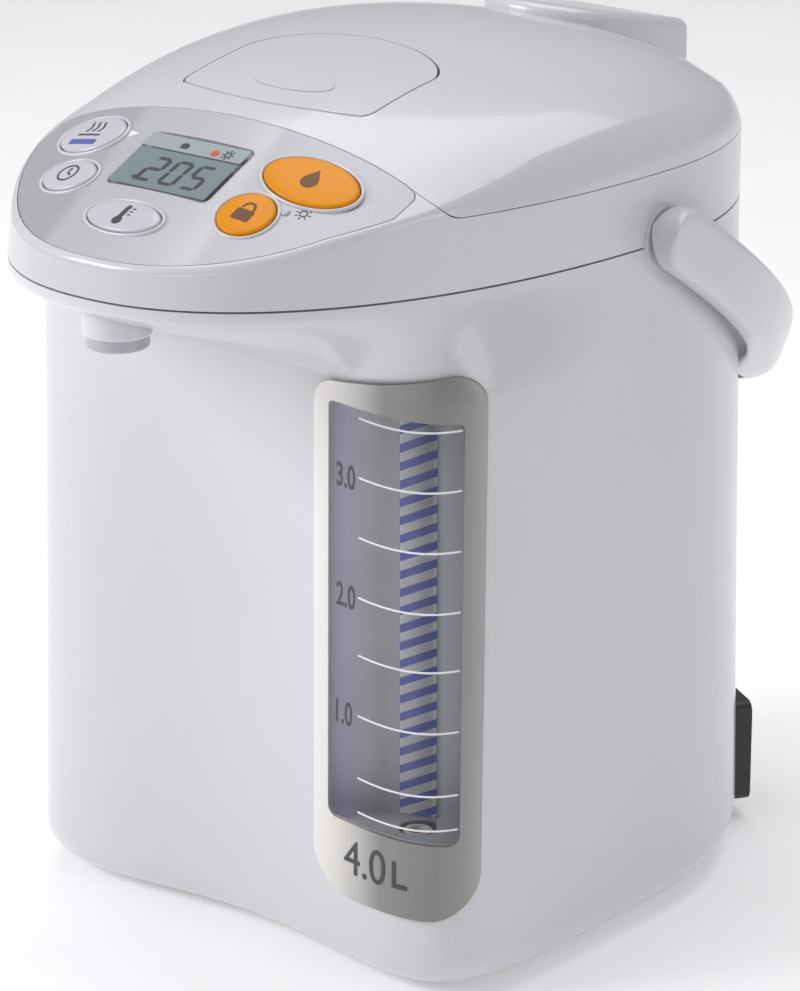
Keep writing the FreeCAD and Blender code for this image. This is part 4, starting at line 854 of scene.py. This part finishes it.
def seven_segments(digit, height, lean=0.09):
    """A digit of seven bars."""
    wide, half = height * 0.52, height / 2
    side, rise = wide / 2, half / 2
    bars = {"a": (0, half, 1), "b": (side, rise, 0), "c": (side, -rise, 0), "d": (0, -half, 1),
            "e": (-side, -rise, 0), "f": (-side, rise, 0), "g": (0, 0, 1)}
    shapes = []
    for key in SEGMENTS[digit]:
        x, y, flat = bars[key]
        length = (wide if flat else half) - 0.35
        thick = height * 0.13
        tip = thick / 2
        bar = [(-length / 2, 0), (-length / 2 + tip, tip), (length / 2 - tip, tip), (length / 2, 0),
               (length / 2 - tip, -tip), (-length / 2 + tip, -tip)]
        if not flat:
            bar = [(b, a) for a, b in bar]
        shapes.append(filled([(a + x + lean * (b + y), b + y) for a, b in bar]))
    return shapes


screen_at = on_crown(*DISPLAY_SPOT)
lens = frame["nodes"]["display_lens"]
lcd_field = press("lcd_field", [filled(soft_rectangle(44, 19, 0.8, 4))],
                  screen_at @ Matrix.Translation((0, -4.2, 0)), lens, 0.04)
lcd_strip = press("lcd_strip", [filled(soft_rectangle(44, 7.0, 0.6, 4))],
                  screen_at @ Matrix.Translation((0, 9.6, 0)), lens, 0.04)
digits = []
for digit, x in zip("205", (-9.6, 0.4, 10.4)):
    digits += [shifted(shape, x + 1.5, -4.4) for shape in seven_segments(digit, 11.5)]
digits.append(filled([(-14.4, -9.6), (-11.6, -8.0), (-11.6, -11.2)]))
lcd_digits = press("lcd_digits", digits, screen_at, lens, 0.12)
small = [shifted(shape, -5, 9.0) for shape in [stroke(bow(0, 0.3, 1.1, 0, 180), 0.45),
                                               filled(soft_rectangle(3.2, 2.2, 0.3, 3))]]
small += [shifted(stroke(bow(0, 0, 1.2, 0, 360, 20), 0.4), 14.5, 9.0)]
small += [stroke([(14.5 + 1.7 * math.cos(a), 9 + 1.7 * math.sin(a)),
                  (14.5 + 2.5 * math.cos(a), 9 + 2.5 * math.sin(a))], 0.35)
          for a in np.radians(range(0, 360, 45))]
lcd_small = press("lcd_small", small, screen_at, lens, 0.12)
lcd_dot = press("lcd_dot", [filled(bow(9.0, 8.6, 1.5, 0, 345, 24))], screen_at, lens, 0.14)

# %% Level window marks
glass = frame["nodes"]["window_lens"]
MARKS = (201.8, 181.0, 159.9, 138.5, 117.8, 95.9, 73.2, 60.7)


def bowed(s):
    """A level line with its ends turned up a little, like the water marks of the photo."""
    return 2.8 + 0.0026 * (s + 2.0) ** 2


lines = [stroke([(s, level + bowed(s)) for s in np.linspace(-15.5, 22.5, 27)], 0.7) for level in MARKS]
level_lines = press("level_lines", lines, WINDOW, glass, 0.05)
numbers = [lettering(label, 8.2, -25.2, level - 1.6, 0.60, 0.02)
           for label, level in (("3.0", 181.0), ("2.0", 138.5), ("1.0", 95.9))]
level_numbers = press("level_numbers", numbers, WINDOW, glass, 0.05)
figures = [lettering("4.0", 12.6, -21.0, 40.6, 0.84),
           stroke([(0.4, y) for y in np.linspace(51.0, 41.3, 9)], 1.6),
           stroke([(x, 42.1) for x in np.linspace(1.2, 5.6, 6)], 1.6)]
capacity = press("capacity_number", figures, WINDOW, frame_skin, 0.1)

# %% Panel marks
tick = on_crown(-33, -122)
arrow_mark = press("panel_arrow", [filled([(-2.2, 1.6), (2.6, 0.4), (-1.2, -2.2)])], tick, panel)
sun = [stroke(bow(0, 0, 1.3, 0, 360, 24), 0.45)]
sun += [stroke([(2.0 * math.cos(a), 2.0 * math.sin(a)), (2.9 * math.cos(a), 2.9 * math.sin(a))], 0.4)
        for a in np.radians(range(0, 360, 45))]
sun_mark = press("panel_sun", sun, on_crown(55.5, -135.5), panel)
bar_spot = on_crown(-50.8, -123.0) @ Matrix.Translation((0, -5.4, 0))
stripe = press("reboil_bar", [filled(soft_rectangle(13, 2.6, 0.6, 4))], bar_spot, caps["button_reboil"],
               0.05, cuts=1)
lever_boss = press("lever_boss", [filled(ellipse(35, 13.5))], on_crown(2.0, -80.0), lever, 0.12, cuts=2)
smooth(lever_boss, 60)

# %% Lever pins
pin_corners = [frame["nodes"]["lever_pins"].matrix_world @ Vector(corner) / MM
               for corner in frame["nodes"]["lever_pins"].bound_box]
pin_end = max(corner.x for corner in pin_corners)
pin_y = sum(corner.y for corner in pin_corners) / 8
pin_z = sum(corner.z for corner in pin_corners) / 8
pin_z -= 2.3
pins, left_pin = [disc("pins_skin", 0.9, (side * (pin_end - 2.6), pin_y, pin_z),
                       (side * (pin_end - 0.2), pin_y, pin_z), 20) for side in (1, -1)]
combine(pins, left_pin, "UNION")
print("lever pins at level:", round(pin_z, 1))

# %% [markdown]
# ## Materials
#
# Sockets are wrapped so that shader arithmetic reads like arithmetic.

# %% Shader sockets


class Wire:
    """An output socket that can be added, multiplied and compared."""

    def __init__(self, graph, socket):
        self.graph = graph
        self.socket = socket

    def math(self, operation, *others, swap=False):
        inputs = [self, *others]
        if swap:
            inputs.reverse()
        return self.graph.node("ShaderNodeMath", inputs, operation=operation)

    def __add__(self, other):
        return self.math("ADD", other)

    def __radd__(self, other):
        return self.math("ADD", other)

    def __sub__(self, other):
        return self.math("SUBTRACT", other)

    def __rsub__(self, other):
        return self.math("SUBTRACT", other, swap=True)

    def __mul__(self, other):
        return self.math("MULTIPLY", other)

    def __rmul__(self, other):
        return self.math("MULTIPLY", other)

    def __truediv__(self, other):
        return self.math("DIVIDE", other)

    def __rtruediv__(self, other):
        return self.math("DIVIDE", other, swap=True)

    def __gt__(self, other):
        return self.math("GREATER_THAN", other)

    def __lt__(self, other):
        return self.math("LESS_THAN", other)


class Graph:
    """A material whose nodes are made one call at a time."""

    def __init__(self, name, **constants):
        self.material = bpy.data.materials.new(name)
        self.material.use_nodes = True
        self.tree = self.material.node_tree
        self.shader = self.tree.nodes["Principled BSDF"]
        for key, value in constants.items():
            self.shader.inputs[key.replace("_", " ")].default_value = value

    def node(self, kind, inputs=(), output=0, **settings):
        """Any node: settings first, then inputs by place or by name."""
        node = self.tree.nodes.new(kind)
        for key, value in settings.items():
            setattr(node, key, value)
        pairs = inputs.items() if isinstance(inputs, dict) else enumerate(inputs)
        for key, value in pairs:
            self.feed(node.inputs[key], value)
        return Wire(self, node.outputs[output])

    def feed(self, socket, value):
        if isinstance(value, Wire):
            self.tree.links.new(value.socket, socket)
        else:
            socket.default_value = value

    def place(self):
        return self.node("ShaderNodeTexCoord", output="Object")

    def parts(self):
        """The object coordinates as three wires."""
        split = self.tree.nodes.new("ShaderNodeSeparateXYZ")
        self.tree.links.new(self.place().socket, split.inputs[0])
        return [Wire(self, split.outputs[i]) for i in range(3)]

    def noise(self, scale, detail=3.0, rough=0.5):
        return self.node("ShaderNodeTexNoise", {"Vector": self.place(), "Scale": scale, "Detail": detail,
                                                "Roughness": rough}, output="Fac")

    def ramp(self, factor, stops):
        """A colour ramp with (position, colour) stops."""
        node = self.tree.nodes.new("ShaderNodeValToRGB")
        self.tree.links.new(factor.socket, node.inputs[0])
        elements = node.color_ramp.elements
        while len(elements) < len(stops):
            elements.new(0.5)
        for element, (position, colour) in zip(elements, stops):
            element.position = position
            element.color = (*colour, 1.0)
        return Wire(self, node.outputs[0])

    def mix(self, factor, first, second):
        """A blend of two colours."""
        node = self.tree.nodes.new("ShaderNodeMix")
        node.data_type = "RGBA"
        self.feed(node.inputs[0], factor)
        self.feed(node.inputs[6], first if isinstance(first, Wire) else (*first, 1.0))
        self.feed(node.inputs[7], second if isinstance(second, Wire) else (*second, 1.0))
        return Wire(self, node.outputs[2])

    def shade(self, **wires):
        """Feed what varies over the surface into the shader."""
        for key, value in wires.items():
            self.feed(self.shader.inputs[key.replace("_", " ")], value)
        return self

    def relief(self, height, strength, distance=0.0002):
        """Bump from a height wire."""
        bump = self.node("ShaderNodeBump", {"Height": height, "Strength": strength, "Distance": distance},
                         output="Normal")
        return self.shade(Normal=bump)


# %% Plastic, metal and rubber


def plastic(name, colour, rough, coat=0.0, grain=700.0, bump=0.04, mottle=0.02, **constants):
    """Moulded plastic: faint mottling, uneven gloss and a fine skin."""
    graph = Graph(name, Coat_Weight=coat, Coat_Roughness=0.06, **constants)
    cloud = graph.noise(9.0)
    darker = tuple(channel * (1 - mottle) for channel in colour)
    lighter = tuple(min(1.0, channel * (1 + mottle)) for channel in colour)
    fine = graph.noise(grain, 2.0)
    graph.shade(Base_Color=graph.ramp(cloud, [(0.3, darker), (0.7, lighter)]),
                Roughness=rough + 0.05 * (graph.noise(60.0) - 0.5))
    return graph.relief(fine, bump).material


def metal(name, colour, rough, stretch=(1.0, 1.0, 40.0), bump=0.05):
    """Drawn or satin metal with fine lines."""
    graph = Graph(name, Metallic=1.0)
    lines = graph.node("ShaderNodeMapping", {"Vector": graph.place(), "Scale": stretch})
    brush = graph.node("ShaderNodeTexNoise", {"Vector": lines, "Scale": 300.0, "Detail": 2.0}, output="Fac")
    darker = tuple(channel * 0.93 for channel in colour)
    graph.shade(Base_Color=graph.ramp(brush, [(0.35, darker), (0.65, colour)]),
                Roughness=rough + 0.08 * (brush - 0.5))
    return graph.relief(brush, bump, 0.00005).material


def striped():
    """Diagonal blue and pale stripes of the level strip."""
    graph = Graph("gauge_stripes", Coat_Weight=0.3)
    x, y, z = graph.parts()
    along = x * math.cos(math.radians(WINDOW_TURN)) + y * math.sin(math.radians(WINDOW_TURN))
    phase = (z - along * 0.45) / 0.0065
    wave = graph.node("ShaderNodeMath", [phase], operation="FRACT")
    stripe = wave > 0.52
    soft = graph.noise(120.0)
    pale = graph.ramp(soft, [(0.3, (0.72, 0.74, 0.76)), (0.7, (0.82, 0.84, 0.86))])
    blue = graph.ramp(soft, [(0.3, (0.012, 0.03, 0.52)), (0.7, (0.02, 0.07, 0.68))])
    graph.shade(Base_Color=graph.mix(stripe, pale, blue), Roughness=0.35 + 0.1 * soft)
    return graph.relief(soft, 0.05).material


def leaf():
    """Silver paint of the control panel, lighter in the middle band."""
    graph = Graph("panel_silver", Coat_Weight=0.2, Coat_Roughness=0.12, Metallic=0.2)
    x, y, z = graph.parts()
    flake = graph.node("ShaderNodeTexNoise", {"Vector": graph.place(), "Scale": 2600.0, "Detail": 2.0},
                       output="Fac")
    lower = x + (y + 0.14) * 0.25
    left, right = [graph.node("ShaderNodeMapRange", [lower, *limits], interpolation_type="SMOOTHSTEP")
                   for limits in ((-0.036, -0.028, 0.0, 1.0), (0.026, 0.034, 1.0, 0.0))]
    band = left * right
    edge = graph.ramp(flake, [(0.3, (0.40, 0.40, 0.43)), (0.7, (0.50, 0.50, 0.53))])
    middle = graph.ramp(flake, [(0.3, (0.52, 0.52, 0.55)), (0.7, (0.60, 0.60, 0.63))])
    graph.shade(Base_Color=graph.mix(band, edge, middle), Roughness=0.3 + 0.08 * flake)
    return graph.relief(flake, 0.06, 0.00004).material


def across_window(graph):
    """Distance from the window's middle along the wall, as a share of 70 mm."""
    x, y, z = graph.parts()
    turn = math.radians(WINDOW_TURN)
    middle = WINDOW.translation.dot(Vector((math.cos(turn), math.sin(turn), 0))) * MM
    return (x * math.cos(turn) + y * math.sin(turn) - middle) / 0.07 + 0.5


def grey_stops(stops, tint):
    """Colour stops from grey values with a tint."""
    return [(place, tuple(value * channel for channel in tint)) for place, value in stops]


def champagne_with_painted_reflection():
    """Satin champagne frame of the level window, with a painted reflection in its tone: bright towards the
    front, darker round the corner.
    """
    graph = Graph("champagne_frame", Metallic=0.25, Coat_Weight=0.1, Coat_Roughness=0.25)
    grain = graph.node("ShaderNodeTexNoise", {"Vector": graph.place(), "Scale": 1800.0, "Detail": 2.0},
                       output="Fac")
    # Painted reflection: the tone ramp across the window is bright at the front, darker round the corner,
    # with a painted highlight at the far edge.
    stops = [(0.0, 0.84), (0.12, 0.74), (0.30, 0.48), (0.42, 0.26), (0.72, 0.24), (0.86, 0.31), (0.94, 0.42)]
    tone = graph.ramp(across_window(graph), grey_stops(stops, (1.0, 0.965, 0.92)))
    graph.shade(Base_Color=tone, Roughness=0.32 + 0.1 * grain)
    return graph.relief(grain, 0.05, 0.00004).material


def smoked_back_with_painted_light():
    """Grey back of the level window with painted light: a painted reflection makes it lighter with a violet
    cast towards the front, and painted shade darkens it round the corner.
    """
    graph = Graph("smoked_back_painted_light")
    haze = graph.noise(30.0)
    # Painted light: the ramp across the window gives a lighter violet painted reflection at the front and
    # darker painted shade at the far side.
    stops = [(0.08, (0.78, 0.75, 0.90)), (0.32, (0.42, 0.40, 0.42)), (0.60, (0.40, 0.42, 0.44)),
             (0.84, (0.28, 0.29, 0.31))]
    graph.shade(Base_Color=graph.ramp(across_window(graph), stops), Roughness=0.5 + 0.1 * haze)
    return graph.relief(haze, 0.05).material


def clear(name, colour, alpha, rough=0.05):
    """Clear plastic: mostly see-through, with a hard glossy surface."""
    graph = Graph(name, Coat_Weight=0.5, Coat_Roughness=0.03, IOR=1.49)
    haze = graph.noise(25.0)
    graph.shade(Base_Color=graph.ramp(haze, [(0.3, colour), (0.7, tuple(c * 1.06 for c in colour))]),
                Roughness=rough + 0.03 * haze, Alpha=alpha + 0.04 * haze)
    return graph.relief(haze, 0.01).material


def ink(name, colour, rough=0.45):
    """Printed ink with a slightly uneven film."""
    graph = Graph(name)
    film = graph.noise(900.0)
    graph.shade(Base_Color=graph.ramp(film, [(0.3, tuple(c * 0.9 for c in colour)), (0.7, colour)]),
                Roughness=rough + 0.1 * film)
    return graph.relief(film, 0.05, 0.00003).material


def circuit():
    """Green board with faint copper tracks."""
    graph = Graph("board_green", Coat_Weight=0.3)
    cells = graph.node("ShaderNodeTexVoronoi", {"Vector": graph.place(), "Scale": 320.0}, output="Distance",
                       distance="CHEBYCHEV")
    track = cells > 0.42
    base = graph.mix(track, (0.02, 0.16, 0.07), (0.05, 0.30, 0.14))
    graph.shade(Base_Color=base, Roughness=0.4 + 0.1 * cells)
    return graph.relief(cells, 0.1, 0.00005).material


WHITE = (0.65, 0.65, 0.675)
materials = {
    "white_shell": plastic("white_shell", WHITE, 0.24, coat=0.35),
    "panel_silver": leaf(),
    "button_orange": plastic("button_orange", (0.80, 0.29, 0.001), 0.36, coat=0.1, mottle=0.05,
                             Specular_IOR_Level=0.2),
    "button_pale": plastic("button_pale", (0.58, 0.58, 0.63), 0.28, coat=0.4, mottle=0.03),
    "clear_window": clear("clear_window", (0.30, 0.30, 0.33), 0.05),
    # The frame's tone carries a painted reflection and a painted highlight.
    "champagne_frame": champagne_with_painted_reflection(),
    "display_grey": plastic("display_grey", (0.52, 0.54, 0.56), 0.2, coat=0.6),
    "board_green": circuit(),
    "inner_grey": plastic("inner_grey", (0.55, 0.55, 0.57), 0.45, bump=0.12),
    "gauge_clear": clear("gauge_clear", (0.40, 0.42, 0.46), 0.02),
    "gauge_stripes": striped(),
    "pot_steel": metal("pot_steel", (0.62, 0.61, 0.59), 0.24),
    "soft_seal": plastic("soft_seal", (0.62, 0.62, 0.62), 0.6, bump=0.2),
    "black_plastic": plastic("black_plastic", (0.018, 0.018, 0.02), 0.42, grain=1200.0, bump=0.25,
                             mottle=0.2),
    "dark_rubber": plastic("dark_rubber", (0.05, 0.05, 0.055), 0.75, grain=1500.0, bump=0.3, mottle=0.2),
    "motor_steel": metal("motor_steel", (0.50, 0.50, 0.52), 0.35),
    "ring_grey": plastic("ring_grey", (0.44, 0.44, 0.48), 0.3, coat=0.3),
    "brass_pins": metal("brass_pins", (0.75, 0.58, 0.28), 0.25),
}
slots = {row["node"]: row["material_slot"] for row in frame["record"]["subparts"]}
# Tray shader with a painted reflection at the front and painted shade round the corner.
tray_painted_light = smoked_back_with_painted_light()


def dress(obj, material, body):
    """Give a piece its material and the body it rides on."""
    obj.data.materials.clear()
    obj.data.materials.append(material)
    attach(obj, body)
    return obj


for name, node in frame["nodes"].items():
    node.data.materials.clear()
    node.data.materials.append(materials[slots[name]])
    smooth(node, 28)
# The gauge tray gets painted light: a painted reflection at the front, painted shade round the corner.
frame["nodes"]["gauge_tray"].data.materials[0] = tray_painted_light

# %% Pieces on their bodies
body_of = {node: body for body, names in frame["record"]["behaviour"]["bodies"].items() for node in names}
SKINS = {
    "outer_case": case, "upper_collar": collar, "lid_cover": lid, "lid_lever": lever,
    "control_panel": panel, "handle": handle, "dispense_lamp": lamp, "window_frame": frame_skin,
    "lever_pins": pins, **caps,
}
for node, skin in SKINS.items():
    dress(skin, materials[slots[node]], body_of[node])
    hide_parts(node)
for piece in rims:
    dress(piece, materials["white_shell"], "pot")
dark = ink("ink_dark", (0.06, 0.06, 0.07))
brown = ink("ink_brown", (0.16, 0.06, 0.02))
white = ink("ink_white", (0.86, 0.86, 0.88))
blue = ink("ink_blue", (0.10, 0.14, 0.45))
red = ink("ink_red", (0.75, 0.10, 0.06))
for name, sign in signs.items():
    tone = brown if name in ("button_dispense", "button_unlock") else dark
    dress(sign, tone, name)
dress(stripe, blue, "button_reboil")
dress(lcd_field, ink("lcd_green", (0.20, 0.26, 0.27), 0.4), "pot")
dress(lcd_strip, ink("lcd_pale", (0.36, 0.41, 0.42), 0.4), "pot")
dress(lcd_digits, dark, "pot")
dress(lcd_small, dark, "pot")
dress(lcd_dot, red, "pot")
dress(level_lines, white, "pot")
dress(level_numbers, dark, "pot")
dress(capacity, dark, "pot")
dress(lever_boss, materials["white_shell"], body_of["lid_lever"])
dress(arrow_mark, white, "pot")
dress(sun_mark, dark, "pot")

# %% [markdown]
# ## Floor, light and camera

# %% Floor
corners = [(-4000, -4000, 0), (4000, -4000, 0), (4000, 4000, 0), (-4000, 4000, 0)]
floor = new_object("floor", corners, [(0, 1, 2, 3)])
floor.data.materials.append(plastic("floor_pale", (0.93, 0.93, 0.94), 0.6,
                                    Emission_Color=(1.0, 1.0, 1.0, 1.0), Emission_Strength=0.20))

# %% Light
world = bpy.data.worlds.new("studio")
world.use_nodes = True
world.node_tree.nodes["Background"].inputs[0].default_value = (0.95, 0.96, 1.0, 1.0)
world.node_tree.nodes["Background"].inputs[1].default_value = 0.36
bpy.context.scene.world = world


def softbox(name, spot, power, size):
    """A square area light that faces the pot."""
    light = bpy.data.lights.new(name, "AREA")
    light.energy = power
    light.size = size
    holder = bpy.data.objects.new(name, light)
    holder.location = spot
    aim = Vector((0, -0.02, 0.16)) - Vector(spot)
    holder.rotation_euler = aim.to_track_quat("-Z", "Y").to_euler()
    bpy.context.scene.collection.objects.link(holder)


softbox("key", (-1.1, -1.4, 1.1), 20.0, 0.9)
softbox("side", (1.9, -0.1, 0.7), 3.8, 0.8)
softbox("top", (-0.2, 0.4, 2.1), 21.0, 1.8)
bpy.context.scene.view_settings.view_transform = "Standard"

# %% Camera
CAMERA_SPOT = (0.9067, -1.0992, 0.6187)
CAMERA_TURN = 40.06
CAMERA_DIP = 18.73
camera_data = bpy.data.cameras.new("camera")
camera_data.lens = 148.6
camera_data.sensor_width = 36.0
camera = bpy.data.objects.new("camera", camera_data)
camera.location = CAMERA_SPOT
camera.rotation_euler = (math.radians(90 - CAMERA_DIP), 0, math.radians(CAMERA_TURN))
bpy.context.scene.collection.objects.link(camera)
bpy.context.scene.camera = camera
